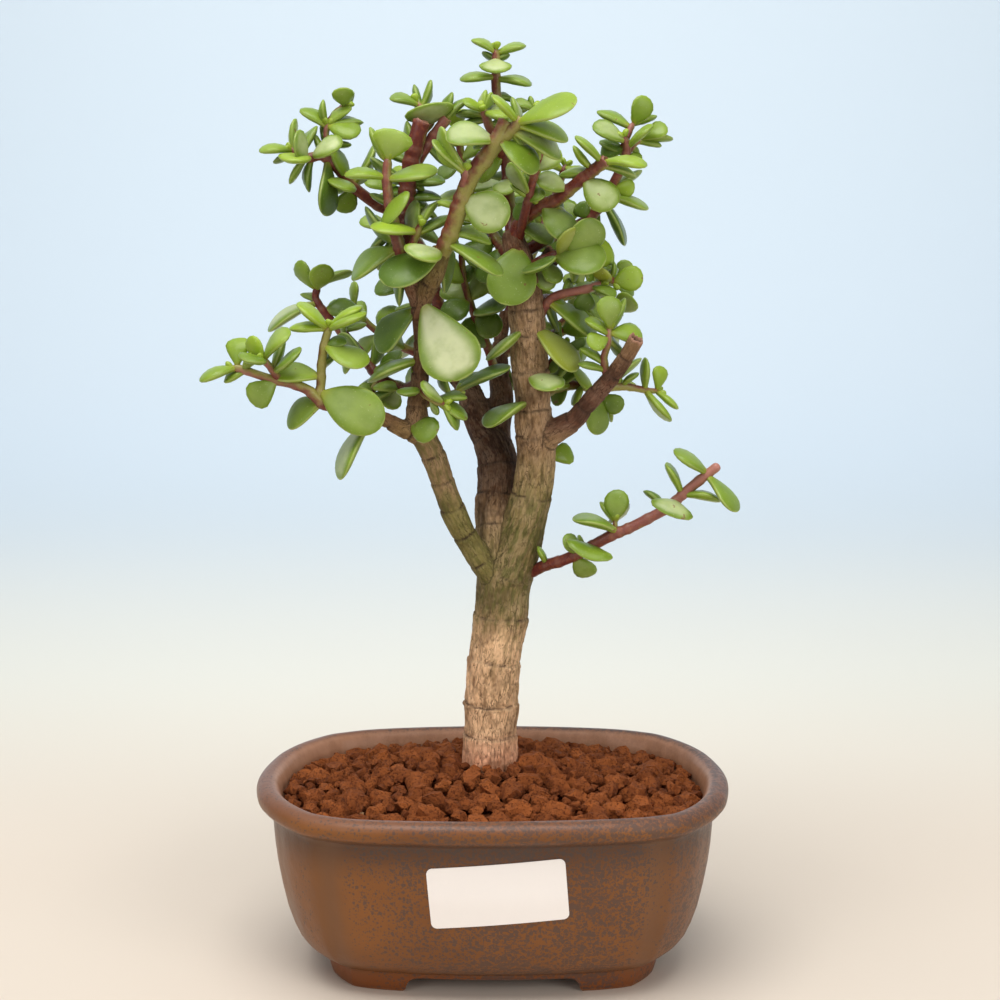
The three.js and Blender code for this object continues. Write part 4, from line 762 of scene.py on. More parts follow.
class Stem:
    """A smooth line through a route, with a radius along it and a side and a front across it."""

    def __init__(self, route, radii):
        self.route = np.array([point[:3] for point in route], float)
        self.radii = list(radii)
        self.spans = len(route) - 1
        run = unit(self.route[-1] - self.route[0])
        self.reference = np.array((0, 0, 1.0) if abs(run[1]) > 0.8 else (0, -1.0, 0))

    def point(self, at):
        return smooth_point(self.route, at)

    def tangent(self, at):
        return unit(self.point(min(self.spans, at + 0.02)) - self.point(max(0, at - 0.02)))

    def across(self, at):
        tangent = self.tangent(at)
        side = unit(np.cross(tangent, self.reference))
        return side, unit(np.cross(side, tangent))

    def leaf_root(self, at):
        return self.point(at) - self.tangent(at) * ROOT_SINK

    def radius(self, at):
        first = min(math.floor(at), self.spans - 1)
        return self.radii[first] + (self.radii[first + 1] - self.radii[first]) * (at - first)

    def places(self, step):
        """Places about one step apart in millimetres, and the length run up to each of them."""
        fine = np.linspace(0, self.spans, 12 * self.spans + 1)
        points = np.array([self.point(at) for at in fine])
        run = np.concatenate([[0], np.cumsum(np.linalg.norm(np.diff(points, axis=0), axis=1))])
        wanted = np.linspace(0, run[-1], max(2, round(run[-1] / step) + 1))
        return np.interp(wanted, run, fine), wanted

    def ring(self, at, radius, sides):
        side, front = self.across(at)
        turn = np.linspace(0, 2 * math.pi, sides, endpoint=False)[:, None]
        return self.point(at) + radius * (np.cos(turn) * side + np.sin(turn) * front)


# -------------------------------- camera, light and stage
CAMERA_PLACE = (2.2, -555.1, 232.4)
CAMERA_TILT = 8.62  # degrees down
CAMERA_LENS = 64.8
SENSOR_WIDTH = 36
PLANT_MIDDLE = (0, 0, 0.14)
BACKDROP_MIDDLE = (0, 1.17, 0.2)
# Softboxes in metres, as (name, place, target, width and height, power, colour).
SOFTBOXES = [
    ("softbox_above", (-0.1, -0.3, 1.1), PLANT_MIDDLE, (0.9, 0.7), 11.5, (1, 0.98, 0.95)),
    ("softbox_left", (-0.75, -0.95, 0.6), PLANT_MIDDLE, (0.6, 0.7), 2.6, (1, 0.98, 0.96)),
    ("softbox_right", (0.8, -0.9, 0.5), PLANT_MIDDLE, (0.6, 0.8), 4.9, (1, 0.98, 0.96)),
    ("backdrop_light", (0, 0.3, 0.85), BACKDROP_MIDDLE, (1.4, 0.4), 2.9, (1, 1, 1)),
]
ROOM_COLOUR = (0.93, 0.95, 1)
ROOM_STRENGTH = 0.33


def make_camera():
    clear_selection()
    bpy.ops.object.camera_add(
        location=in_frame(CAMERA_PLACE), rotation=(math.radians(90 - CAMERA_TILT), 0, 0)
    )
    camera = bpy.context.object
    camera.name = "camera"
    camera.data.lens = CAMERA_LENS
    camera.data.sensor_width = SENSOR_WIDTH
    camera.data.clip_start = 0.01
    bpy.context.scene.camera = camera


def make_softbox(name, place, target, size, power, colour):
    clear_selection()
    direction = Vector(target) - Vector(place)
    bpy.ops.object.light_add(
        type="AREA", location=place, rotation=direction.to_track_quat("-Z", "Y").to_euler()
    )
    lamp = bpy.context.object
    lamp.name = name
    lamp.data.shape = "RECTANGLE"
    lamp.data.size, lamp.data.size_y = size
    lamp.data.energy = power
    lamp.data.color = colour


def make_lights():
    for softbox in SOFTBOXES:
        make_softbox(*softbox)
    world = bpy.data.worlds.new("pale_room")
    bpy.context.scene.world = world
    world.use_nodes = True
    sky = world.node_tree.nodes["Background"]
    sky.inputs["Color"].default_value = (*ROOM_COLOUR, 1)
    sky.inputs["Strength"].default_value = ROOM_STRENGTH
    bpy.context.scene.view_settings.view_transform = "Standard"


STAGE_HALF_WIDTH = 1900
# The sheet from the front of the floor to the top of the backdrop, as (y, z).
STAGE_LINE = [
    (-1500, 0), (500, 0), (800, 0), (950, 20), (1060, 80), (1130, 180), (1160, 320), (1170, 600),
    (1170, 1400),
]


def make_stage():
    """One sheet: a floor that rises in a long curve into the backdrop."""
    clear_selection()
    bpy.ops.mesh.primitive_plane_add(size=2 * STAGE_HALF_WIDTH * MM)
    stage = bpy.context.object
    stage.name = "stage"
    bpy.ops.object.mode_set(mode="EDIT")
    mesh = bmesh.from_edit_mesh(stage.data)
    bpy.ops.mesh.select_mode(type="EDGE")
    bpy.ops.mesh.select_all(action="DESELECT")
    for edge in mesh.edges:
        edge.select = all(vert.co.y > 0 for vert in edge.verts)
    for vert in mesh.verts:
        vert.co.y = (STAGE_LINE[1] if vert.co.y > 0 else STAGE_LINE[0])[0] * MM
    bmesh.update_edit_mesh(stage.data)
    for (y, z), (next_y, next_z) in zip(STAGE_LINE[1:], STAGE_LINE[2:]):
        bpy.ops.mesh.extrude_edges_move(
            TRANSFORM_OT_translate={"value": (0, (next_y - y) * MM, (next_z - z) * MM)}
        )
    bpy.ops.object.mode_set(mode="OBJECT")
    apply_modifier(stage, "SUBSURF", levels=2, render_levels=2)
    smooth(stage, 60)
    stage.data.materials.append(stage_material())
    clear_selection()


# -------------------------------- shader helpers
def plug(tree, socket, value):
    """Sets a socket to a value, or links it to another socket."""
    if isinstance(value, bpy.types.NodeSocket):
        tree.links.new(value, socket)
    elif socket.type == "RGBA":
        socket.default_value = (*value[:3], 1)
    else:
        socket.default_value = value


def add_node(tree, kind, inputs=None, **settings):
    made = tree.nodes.new("ShaderNode" + kind)
    for name, value in settings.items():
        setattr(made, name, value)
    for name, value in (inputs or {}).items():
        plug(tree, made.inputs[name], value)
    return made


def mix(tree, factor, first, second, blend="MIX"):
    made = add_node(tree, "Mix", data_type="RGBA", blend_type=blend)
    plug(tree, made.inputs[0], factor)
    plug(tree, made.inputs[6], first)
    plug(tree, made.inputs[7], second)
    return made.outputs[2]


def math_node(tree, operation, first, second=0.5, clamp=False):
    made = add_node(tree, "Math", operation=operation, use_clamp=clamp)
    plug(tree, made.inputs[0], first)
    plug(tree, made.inputs[1], second)
    return made.outputs[0]


def times(tree, first, second):
    return math_node(tree, "MULTIPLY", first, second)


def plus(tree, first, second, clamp=False):
    return math_node(tree, "ADD", first, second, clamp)


def minus(tree, first, second):
    return math_node(tree, "SUBTRACT", first, second)


def larger(tree, first, second):
    return math_node(tree, "MAXIMUM", first, second)


def ramp(tree, value, low, high, to_low=0.0, to_high=1.0):
    """The value between low and high, eased and set between the two results."""
    made = add_node(
        tree, "MapRange",
        {"Value": value, "From Min": low, "From Max": high, "To Min": to_low, "To Max": to_high},
        interpolation_type="SMOOTHSTEP",
    )
    return made.outputs["Result"]


def attribute(tree, name, part="Color"):
    return add_node(tree, "Attribute", attribute_name=name).outputs[part]


def split(tree, colour):
    return add_node(tree, "SeparateColor", {"Color": colour}).outputs


def axes_of(tree, vector):
    return add_node(tree, "SeparateXYZ", {"Vector": vector}).outputs


def new_group(name, output, **values):
    """An empty node group: it takes a place and named values, and puts out one value."""
    tree = bpy.data.node_groups.new(name, "ShaderNodeTree")
    tree.interface.new_socket("Place", in_out="INPUT", socket_type="NodeSocketVector")
    for label, value in values.items():
        socket = tree.interface.new_socket(label, in_out="INPUT", socket_type="NodeSocketFloat")
        socket.default_value = value
    tree.interface.new_socket(output, in_out="OUTPUT", socket_type="NodeSocketFloat")
    return tree, tree.nodes.new("NodeGroupInput").outputs, tree.nodes.new("NodeGroupOutput").inputs


def use_group(tree, group, **inputs):
    return add_node(tree, "Group", inputs, node_tree=group).outputs[0]


def per_metre(tree, size):
    """A texture's scale for a size in millimetres."""
    return math_node(tree, "DIVIDE", 1 / MM, size)


def noise_at(tree, place, scale, detail, roughness):
    inputs = {"Vector": place, "Scale": scale, "Detail": detail, "Roughness": roughness}
    return add_node(tree, "TexNoise", inputs).outputs["Fac"]


def make_cloud_group():
    """Soft, uneven patches of a given size in millimetres, as a mask."""
    tree, given, out = new_group("cloud_patches", "Mask", Size=10.0, Contrast=2.0)
    patches = noise_at(tree, given["Place"], per_metre(tree, given["Size"]), 3.0, 0.55)
    stretched = times(tree, minus(tree, patches, 0.5), given["Contrast"])
    plug(tree, out["Mask"], plus(tree, stretched, 0.5, clamp=True))
    return tree


def make_speckle_group():
    """Irregular small spots of a given size in millimetres; a high threshold leaves few."""
    tree, given, out = new_group("speckles", "Mask", Size=1.5, Threshold=0.55, Softness=0.06)
    spots = noise_at(tree, given["Place"], per_metre(tree, given["Size"]), 2.5, 0.62)
    full = plus(tree, given["Threshold"], given["Softness"])
    plug(tree, out["Mask"], ramp(tree, spots, given["Threshold"], full))
    return tree


def make_relief_group():
    """A rough height with lumps of a given size in millimetres and finer grit on them."""
    tree, given, out = new_group("rough_relief", "Height", Size=2.0, Grit=0.4)
    scale = per_metre(tree, given["Size"])
    lumps = noise_at(tree, given["Place"], scale, 2.0, 0.5)
    grit = noise_at(tree, given["Place"], times(tree, scale, 5.3), 3.0, 0.65)
    plug(tree, out["Height"], plus(tree, lumps, times(tree, grit, given["Grit"])))
    return tree


def make_fissure_group():
    """Thin winding lines a given distance apart in millimetres; a larger width thickens them."""
    tree, given, out = new_group("fissures", "Mask", Size=1.5, Width=0.05)
    field = noise_at(tree, given["Place"], per_metre(tree, given["Size"]), 2.0, 0.5)
    away = math_node(tree, "ABSOLUTE", minus(tree, field, 0.5))
    plug(tree, out["Mask"], ramp(tree, away, 0.0, given["Width"], 1.0, 0.0))
    return tree


def make_mottle_group():
    """Rounded spots, one to a cell of a given size in millimetres; the share fills the cells."""
    tree, given, out = new_group("round_mottles", "Mask", Size=1.5, Share=0.5)
    scale = per_metre(tree, given["Size"])
    uneven = add_node(tree, "TexNoise", {"Vector": given["Place"], "Scale": 1.1 / MM, "Detail": 2.0})
    moved = add_node(tree, "VectorMath", operation="MULTIPLY_ADD")
    plug(tree, moved.inputs[0], uneven.outputs["Color"])
    plug(tree, moved.inputs[1], (0.9 * MM, 0.9 * MM, 0.9 * MM))
    plug(tree, moved.inputs[2], given["Place"])
    cells = add_node(tree, "TexVoronoi", {"Vector": moved.outputs[0], "Scale": scale})
    reach = minus(tree, given["Share"], split(tree, cells.outputs["Color"])[0])
    plug(tree, out["Mask"], ramp(tree, minus(tree, reach, cells.outputs["Distance"]), -0.12, 0.04))
    return tree


CLOUDS = make_cloud_group()
SPECKLES = make_speckle_group()
RELIEF = make_relief_group()
FISSURES = make_fissure_group()
MOTTLES = make_mottle_group()


def clouds(tree, place, size, contrast=2.0):
    return use_group(tree, CLOUDS, Place=place, Size=size, Contrast=contrast)


def speckles(tree, place, size, threshold, softness=0.06):
    return use_group(tree, SPECKLES, Place=place, Size=size, Threshold=threshold, Softness=softness)


def fissures(tree, place, size, width):
    return use_group(tree, FISSURES, Place=place, Size=size, Width=width)


def mottles(tree, place, size, share):
    return use_group(tree, MOTTLES, Place=place, Size=size, Share=share)


def relief(tree, place, size, grit):
    return use_group(tree, RELIEF, Place=place, Size=size, Grit=grit)


def new_material(name, colour):
    """A material with its node tree, its principled shader and the object's own coordinates."""
    material = bpy.data.materials.new(name)
    material.use_nodes = True
    material.diffuse_color = (*colour, 1)
    tree = material.node_tree
    place = add_node(tree, "TexCoord").outputs["Object"]
    return material, tree, tree.nodes["Principled BSDF"].inputs, place


def coat(tree, shader, colour, roughness, specular=0.5):
    """Gives the shader its colour, roughness and specular level."""
    plug(tree, shader["Base Color"], colour)
    plug(tree, shader["Roughness"], roughness)
    shader["Specular IOR Level"].default_value = specular


def bump(tree, shader, height, depth):
    """Feeds a height, as a share of a depth in millimetres, to the shader's normal."""
    made = add_node(tree, "Bump", {"Height": height, "Distance": depth * MM, "Strength": 1.0})
    plug(tree, shader["Normal"], made.outputs["Normal"])


# -------------------------------- materials
FLOOR_CREAM = (0.70, 0.61, 0.51)
BACKDROP_CREAM = (0.75, 0.74, 0.66)
BACKDROP_BLUE = (0.72, 0.83, 0.92)


def stage_material():
    material, tree, shader, place = new_material("painted_backdrop", BACKDROP_CREAM)
    axes = axes_of(tree, place)
    away = plus(tree, axes["Y"], axes["Z"])
    low = mix(tree, ramp(tree, away, 0.05, 0.4), FLOOR_CREAM, BACKDROP_CREAM)
    whole = mix(tree, ramp(tree, away, 0.25, 1.1), low, BACKDROP_BLUE)
    patches = clouds(tree, place, 260, 1.2)
    whole = mix(tree, patches, whole, mix(tree, 0.04, whole, (1, 1, 1)))
    coat(tree, shader, whole, ramp(tree, patches, 0, 1, 0.75, 0.85))
    return material


GLAZE_RUST = (0.165, 0.060, 0.017)
GLAZE_ORANGE = (0.235, 0.086, 0.020)
GLAZE_GREY = (0.088, 0.042, 0.024)
GLAZE_MOTTLE = (0.062, 0.050, 0.047)
GLAZE_CREASE = (0.150, 0.074, 0.036)
GLAZE_INSIDE = (0.46, 0.245, 0.150)
LIP_PAINTED_SHEEN = (0.195, 0.085, 0.048)
FOOT_RUST = (0.205, 0.056, 0.013)
BARE_CLAY = (0.27, 0.105, 0.042)


def glaze_material():
    material, tree, shader, place = new_material("mottled_brown_glaze", GLAZE_RUST)
    rim, under, crease = split(tree, attribute(tree, "glaze_zone"))[:3]
    inside = attribute(tree, "pot_inside", "Fac")
    axes = axes_of(tree, place)
    patches = clouds(tree, place, 28, 2.4)
    base = mix(tree, patches, GLAZE_RUST, GLAZE_ORANGE)
    # Painted shade under the lip: the glaze is darkened to grey-brown there.
    base = mix(tree, times(tree, under, 0.85), base, GLAZE_GREY)
    base = mix(tree, times(tree, crease, 0.6), base, GLAZE_CREASE)
    base = mix(tree, ramp(tree, axes["Z"], 0.005, 0.0072, 0.7, 0), base, FOOT_RUST)
    # Painted sheen: the lip's top is paler and purple-grey, for the light above reflecting there.
    base = mix(tree, times(tree, rim, 0.8), base, LIP_PAINTED_SHEEN)
    share = ramp(tree, axes["X"], -0.066, 0.02, 0.34, 0.84)
    share = plus(tree, share, times(tree, clouds(tree, place, 15, 1.9), 0.5))
    share = minus(tree, minus(tree, share, times(tree, crease, 0.6)), 0.28)
    large = mottles(tree, place, 1.15, share)
    small = mottles(tree, place, 0.65, plus(tree, share, 0.1))
    spots = larger(tree, large, times(tree, small, 0.85))
    spots = times(tree, spots, ramp(tree, inside, 0, 1, 0.66, 0.1))
    # The inner wall is painted lighter, in soft streaks, with fewer mottles.
    streak_place = add_node(tree, "Mapping", {"Vector": place, "Scale": (1, 1, 0.25)}).outputs[0]
    streaks = clouds(tree, streak_place, 5, 2.6)
    inner_wall_glaze = mix(tree, streaks, mix(tree, 0.35, GLAZE_INSIDE, GLAZE_RUST), GLAZE_INSIDE)
    base = mix(tree, times(tree, inside, 0.85), base, inner_wall_glaze)
    base = mix(tree, spots, base, GLAZE_MOTTLE)
    edge = plus(tree, axes["Z"], times(tree, clouds(tree, place, 4, 2), 0.0009))
    bare = ramp(tree, edge, 0.0009, 0.0013, 1.0, 0.0)
    sheen = ramp(tree, plus(tree, spots, patches), 0, 2, 0.34, 0.50)
    sheen = larger(tree, sheen, times(tree, bare, 0.85))
    coat(tree, shader, mix(tree, bare, base, BARE_CLAY), sheen, 0.29)
    height = minus(tree, relief(tree, place, 5, 0.12), times(tree, spots, 0.12))
    bump(tree, shader, height, 0.2)
    return material


SOIL_DUST = (0.48, 0.140, 0.036)
SOIL_DARK_AND_SHADE = (0.125, 0.030, 0.009)
PEBBLE_TAN = (0.42, 0.25, 0.125)


def soil_material():
    material, tree, shader, place = new_material("baked_clay_granules", SOIL_DUST)
    bright, pebble = split(tree, attribute(tree, "grain_tone"))[:2]
    patches = clouds(tree, place, 2.6, 2.6)
    shade = plus(tree, times(tree, patches, 0.45), times(tree, bright, 0.6))
    base = mix(tree, shade, SOIL_DARK_AND_SHADE, SOIL_DUST)
    # Painted shade in the grains' small pits.
    shaded_pits = speckles(tree, place, 0.8, 0.56, 0.06)
    base = mix(tree, times(tree, shaded_pits, 0.7), base, SOIL_DARK_AND_SHADE)
    base = mix(tree, pebble, base, PEBBLE_TAN)
    coat(tree, shader, base, ramp(tree, patches, 0, 1, 0.86, 0.98), 0.2)
    rough = plus(tree, relief(tree, place, 1.5, 0.7), relief(tree, place, 0.6, 0.5))
    bump(tree, shader, minus(tree, rough, times(tree, shaded_pits, 0.6)), 0.75)
    return material


PAPER_WHITE = (0.93, 0.89, 0.86)
PAPER_SHADE = (0.75, 0.7, 0.66)
PAPER_FIBRE = (0.6, 0.57, 0.54)


def paper_material():
    material, tree, shader, place = new_material("blank_sticker_paper", PAPER_WHITE)
    patches = clouds(tree, place, 9, 1.5)
    base = mix(tree, patches, PAPER_WHITE, mix(tree, 0.05, PAPER_WHITE, PAPER_SHADE))
    fibres = speckles(tree, place, 0.35, 0.6, 0.1)
    base = mix(tree, times(tree, fibres, 0.06), base, PAPER_FIBRE)
    coat(tree, shader, base, ramp(tree, patches, 0, 1, 0.42, 0.5))
    bump(tree, shader, relief(tree, place, 1.2, 0.6), 0.02)
    return material


PLASTIC_BLACK = (0.03, 0.03, 0.032)


def plastic_material():
    material, tree, shader, place = new_material("moulded_black_plastic", PLASTIC_BLACK)
    dust = speckles(tree, place, 1.1, 0.56, 0.12)
    base = mix(tree, times(tree, dust, 0.25), PLASTIC_BLACK, SOIL_DUST)
    coat(tree, shader, base, ramp(tree, dust, 0, 1, 0.5, 0.8))
    bump(tree, shader, relief(tree, place, 0.8, 0.4), 0.03)
    return material


BARK_LICHEN = (0.13, 0.135, 0.03)
BARK_CRACK_AND_HOLLOW_SHADE = (0.045, 0.022, 0.012)
BARK_DEEPER = (0.24, 0.19, 0.15)  # multiply the tone in the deep lines and on the pale fibres
BARK_BRIGHTER = (1.3, 1.3, 1.3)
BARK_PALE = (0.86, 0.66, 0.48)


def bark_material():
    material, tree, shader, place = new_material("fibrous_bark", TAN)
    tone = attribute(tree, "bark_tone")
    groove, crack, cut = split(tree, attribute(tree, "bark_marks_and_shade"))[:3]
    limb = attribute(tree, "limb_space", "Vector")
    old = ramp(tree, attribute(tree, "old_bark", "Fac"), 0.2, 0.9, 0.3, 1)
    fibres = add_node(tree, "Mapping", {"Vector": limb, "Scale": (MM, MM, 0.27 * MM)}).outputs[0]
    streaks = clouds(tree, fibres, 1.3, 3.0)
    fine = clouds(tree, fibres, 0.6, 3.6)
    patches = clouds(tree, place, 8, 3.2)
    fissure = larger(tree, fissures(tree, fibres, 1.8, 0.02), fissures(tree, fibres, 0.8, 0.016))
    grouped = ramp(tree, clouds(tree, place, 4, 3.5), 0.2, 0.8, 0.15, 1)
    fissure = times(tree, fissure, grouped)
    deep = mix(tree, 1.0, tone, BARK_DEEPER, "MULTIPLY")
    pale = mix(tree, 0.2, mix(tree, 1.0, tone, BARK_BRIGHTER, "MULTIPLY"), BARK_PALE)
    base = mix(tree, times(tree, old, ramp(tree, streaks, 0.45, 1, 0, 0.65)), tone, deep)
    base = mix(tree, times(tree, old, ramp(tree, fine, 0.55, 1, 0, 0.5)), base, pale)
    base = mix(tree, times(tree, old, ramp(tree, patches, 0.5, 0.9, 0, 0.55)), base, pale)
    base = mix(tree, ramp(tree, patches, 0.1, 0.52, 0.6, 0), base, deep)
    flakes = times(tree, clouds(tree, fibres, 1.1, 5.0), clouds(tree, place, 3.2, 3.5))
    base = mix(tree, times(tree, flakes, times(tree, old, 0.6)), base, pale)
    base = mix(tree, times(tree, fissure, 0.85), base, deep)
    green = times(tree, attribute(tree, "lichen", "Fac"), ramp(tree, streaks, 0.2, 0.9, 0.35, 1))
    base = mix(tree, times(tree, green, 0.75), base, BARK_LICHEN)
    # Ring grooves and cracks are dark marks of the bark; in a torn end's hollow the groove share is painted
    # shade.
    dark = larger(tree, times(tree, groove, 0.9), times(tree, crack, 0.4))
    base = mix(tree, dark, base, BARK_CRACK_AND_HOLLOW_SHADE)
    base = mix(tree, times(tree, cut, 0.85), base, CUT_WOOD)
    coat(tree, shader, base, ramp(tree, streaks, 0, 1, 0.62, 0.85), 0.3)
    height = plus(tree, relief(tree, fibres, 0.8, 0.4), times(tree, fine, 0.4))
    bump(tree, shader, minus(tree, height, times(tree, fissure, 0.6)), 0.4)
    return material


LEAF_LIME = (0.29, 0.42, 0.028)
LEAF_GREEN = (0.095, 0.170, 0.017)
LEAF_SILVER = (0.61, 0.66, 0.39)
LEAF_YELLOW = (0.36, 0.35, 0.04)
LEAF_MARGIN = (0.40, 0.47, 0.14)
LEAF_SCAR = (0.20, 0.10, 0.04)


def leaf_material():
    material, tree, shader, place = new_material("waxy_leaf", LEAF_GREEN)
    young_and_lit, bloom, yellow = split(tree, attribute(tree, "leaf_tone"))[:3]
    within = axes_of(tree, attribute(tree, "leaf_place", "Vector"))
    part, rim = within["Y"], within["Z"]
    patches = clouds(tree, place, 6, 1.8)
    # The young share also carries painted light and shade.
    shade = plus(tree, young_and_lit, times(tree, minus(tree, patches, 0.5), 0.35), clamp=True)
    base = mix(tree, shade, LEAF_GREEN, LEAF_LIME)
    base = mix(tree, yellow, base, LEAF_YELLOW)
    centre = ramp(tree, rim, 0.35, 0.93, 1.0, 0.0)
    silver = times(tree, bloom, times(tree, centre, ramp(tree, patches, 0.0, 0.7, 0.55, 1.0)))
    base = mix(tree, silver, base, LEAF_SILVER)
    base = mix(tree, ramp(tree, part, 0.0, 0.24, 0.75, 0.0), base, LEAF_YELLOW)
    base = mix(tree, ramp(tree, rim, 0.90, 1.0, 0.0, 0.6), base, LEAF_MARGIN)
    flecks = speckles(tree, place, 0.55, 0.66, 0.05)
    base = mix(tree, times(tree, flecks, 0.4), base, LEAF_SILVER)
    scars = speckles(tree, place, 3.0, 0.71, 0.02)
    base = mix(tree, times(tree, scars, 0.75), base, LEAF_SCAR)
    coat(tree, shader, base, ramp(tree, patches, 0, 1, 0.31, 0.44), 0.38)
    shader["Subsurface Weight"].default_value = 0.18
    shader["Subsurface Radius"].default_value = (0.7, 1.0, 0.15)
    shader["Subsurface Scale"].default_value = 0.0016
    bump(tree, shader, relief(tree, place, 1.6, 0.3), 0.06)
    return material


STEM_RED = (0.130, 0.024, 0.019)
STEM_OLIVE = (0.27, 0.25, 0.06)
STEM_PINK = (0.50, 0.22, 0.17)
STEM_ORANGE = (0.33, 0.085, 0.028)
STEM_SCAR = (0.34, 0.22, 0.12)


def stem_material():
    material, tree, shader, place = new_material("young_stem_skin", STEM_RED)
    red, node_ring, cut = split(tree, attribute(tree, "stem_tone"))[:3]
    patches = clouds(tree, place, 3.5, 2.2)
    streak = clouds(tree, place, 1.1, 2.5)
    uneven = times(tree, minus(tree, patches, 0.5), 0.5)
    amount = plus(tree, red, uneven, clamp=True)
    pink = attribute(tree, "stem_pink", "Fac")
    ripe = mix(tree, ramp(tree, streak, 0.4, 1, 0, 0.4), STEM_RED, STEM_ORANGE)
    base = mix(tree, ramp(tree, amount, 0.2, 0.8), STEM_OLIVE, mix(tree, pink, ripe, STEM_PINK))
    base = mix(tree, times(tree, node_ring, 0.2), base, STEM_SCAR)
    base = mix(tree, times(tree, cut, 0.8), base, CUT_WOOD)
    coat(tree, shader, base, ramp(tree, patches, 0, 1, 0.24, 0.40), 0.34)
    bump(tree, shader, relief(tree, place, 0.9, 0.4), 0.09)
    return material


# -------------------------------- pot
def outline_points(corners, steps):
    """Points on a smooth line through an outline's corners, a few to each stretch."""
    route = np.array(corners, float)
    count = (len(route) - 1) * steps
    return [smooth_point(route, number / steps) for number in range(count + 1)]


CREASE_TURNS = [
    (turn / len(LIP_ROUTE), depth)
    for corner, depth in CREASES
    for turn in (corner, 12 - corner, 12 + corner, 24 - corner)
]


def crease_share(turn):
    """How near a place round the pot is to a crease, from 0 to 1."""
    shares = []
    for crease, depth in CREASE_TURNS:
        millimetres = min(abs(turn - crease), 1 - abs(turn - crease)) * LIP_LENGTH
        shares.append(depth * bell(millimetres, CREASE_WIDTH))
    return max(shares)


def wall_ring(inset, height):
    """One ring of the pot's skin, drawn in at the creases and a little uneven along the lip."""
    ring = []
    on_wall = rise(height, 7, 15) * rise(height, 57, 51)
    on_lip = rise(height, 50, 56)
    for number in range(POT_SIDES):
        turn = number / POT_SIDES
        share = crease_share(turn)
        away = CREASE_DEPTH * share * (on_wall + 0.35 * on_lip)
        away += LIP_WOBBLE * on_lip * (0.5 + 0.5 * math.sin(2 * math.pi * (3 * turn + 0.13)))
        x, y = plan_point(turn, inset + away)
        at_front = 0.5 - 0.5 * math.sin(2 * math.pi * turn)
        sag = 0.35 * (math.sin(2 * math.pi * (5 * turn + 0.4)) - 1) * at_front
        ring.append((x, y, height + sag * on_lip))
    return ring


def make_foot_cutter(half_gap, along_x):
    """A bar with the arch between two feet as its section, as long as the pot."""
    right = [(half_gap - inside, height) for inside, height in FOOT_ARCH]
    section = right + [(-across, height) for across, height in reversed(right)]
    rings = []
    for reach in (-90, 90):
        rings.append([(across, reach, z) if along_x else (reach, across, z) for across, z in section])
    return draw_skin("foot_cutter", rings)


def make_pot():
    outline = outline_points(UNDERSIDE + OUTER_WALL, 2)[:-1]
    outline += outline_points([OUTER_WALL[-1]] + LIP_ROLL + INNER_WALL[:1], POT_STEPS)[:-1]
    outline += outline_points(INNER_WALL, POT_STEPS)
    pot = draw_skin("glazed_pot", [wall_ring(inset, height) for inset, height in outline])
    foot_rings = [
        [(*plan_point(number / POT_SIDES, inset), height) for number in range(POT_SIDES)]
        for inset, height in FOOT_RING + FOOT_RING[:1]
    ]
    feet = draw_skin("feet", foot_rings, open_ends=True)
    cutters = [make_foot_cutter(FOOT_GAP_LONG, True), make_foot_cutter(FOOT_GAP_SHORT, False)]
    for cutter in cutters:
        apply_modifier(feet, "BOOLEAN", object=cutter, operation="DIFFERENCE", solver="MANIFOLD")
    apply_modifier(
        feet, "BEVEL", width=0.35 * MM, segments=2, limit_method="ANGLE", angle_limit=math.radians(50)
    )
    apply_modifier(pot, "BOOLEAN", object=feet, operation="UNION", solver="MANIFOLD")
    for side in (-1, 1):
        clear_selection()
        bpy.ops.mesh.primitive_cylinder_add(
            vertices=32, radius=DRAIN_RADIUS * MM, depth=30 * MM,
            location=in_frame((side * DRAIN_PLACE, 0, 8)),
        )
        drill = bpy.context.object
        apply_modifier(pot, "BOOLEAN", object=drill, operation="DIFFERENCE", solver="MANIFOLD")
        cutters.append(drill)
    for tool in cutters + [feet]:
        bpy.data.objects.remove(tool)
    smooth(pot, 38)
    paint_glaze(pot)
    pot.data.materials.clear()
    pot.data.materials.append(glaze_material())
    finish_piece(pot, "pot_glaze", "pot")


def paint_glaze(pot):
    """Marks the lip's top for a painted sheen, the painted shade under the lip, and the creases for the
    glaze.
    """
    points = plan_points_of(pot)
    creases = [(plan_point(turn, 0), plan_point(turn, 20), depth) for turn, depth in CREASE_TURNS]
    values = np.ones((len(points), 4))
    height = points[:, 2]
    values[:, 0] = np.clip((height - 57.5) / 2.5, 0, 1)
    values[:, 1] = np.clip((height - 42) / 9, 0, 1) * np.clip((55 - height) / 1.5, 0, 1)
    shares = np.zeros(len(points))
    for start, end, depth in creases:
        along = unit(end - start)
        away = points[:, :2] - start
        sideways = np.abs(away[:, 0] * along[1] - away[:, 1] * along[0])
        on_side = away @ along > -3
        on_side &= np.hypot(away[:, 0], away[:, 1]) < 30
        near = np.exp(-((sideways / (1.2 * CREASE_WIDTH)) ** 2))
        shares = np.maximum(shares, depth * on_side * near)
    values[:, 2] = shares * (height < 54)
    paint(pot, "glaze_zone", "FLOAT_COLOR", values)
    outwards = points[:, :2] / np.maximum(1, np.linalg.norm(points[:, :2], axis=1))[:, None]
    facing_in = -(points_of(pot, "normal")[:, :2] * outwards).sum(axis=1)
    paint(pot, "pot_inside", "FLOAT", np.clip(2.2 * facing_in - 0.5, 0, 1) * (height > 12))


def dress_drain_meshes():
    plastic = plastic_material()
    for name in ("drain_mesh_left", "drain_mesh_right"):
        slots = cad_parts[name].data.materials
        slots.clear()
        slots.append(plastic)


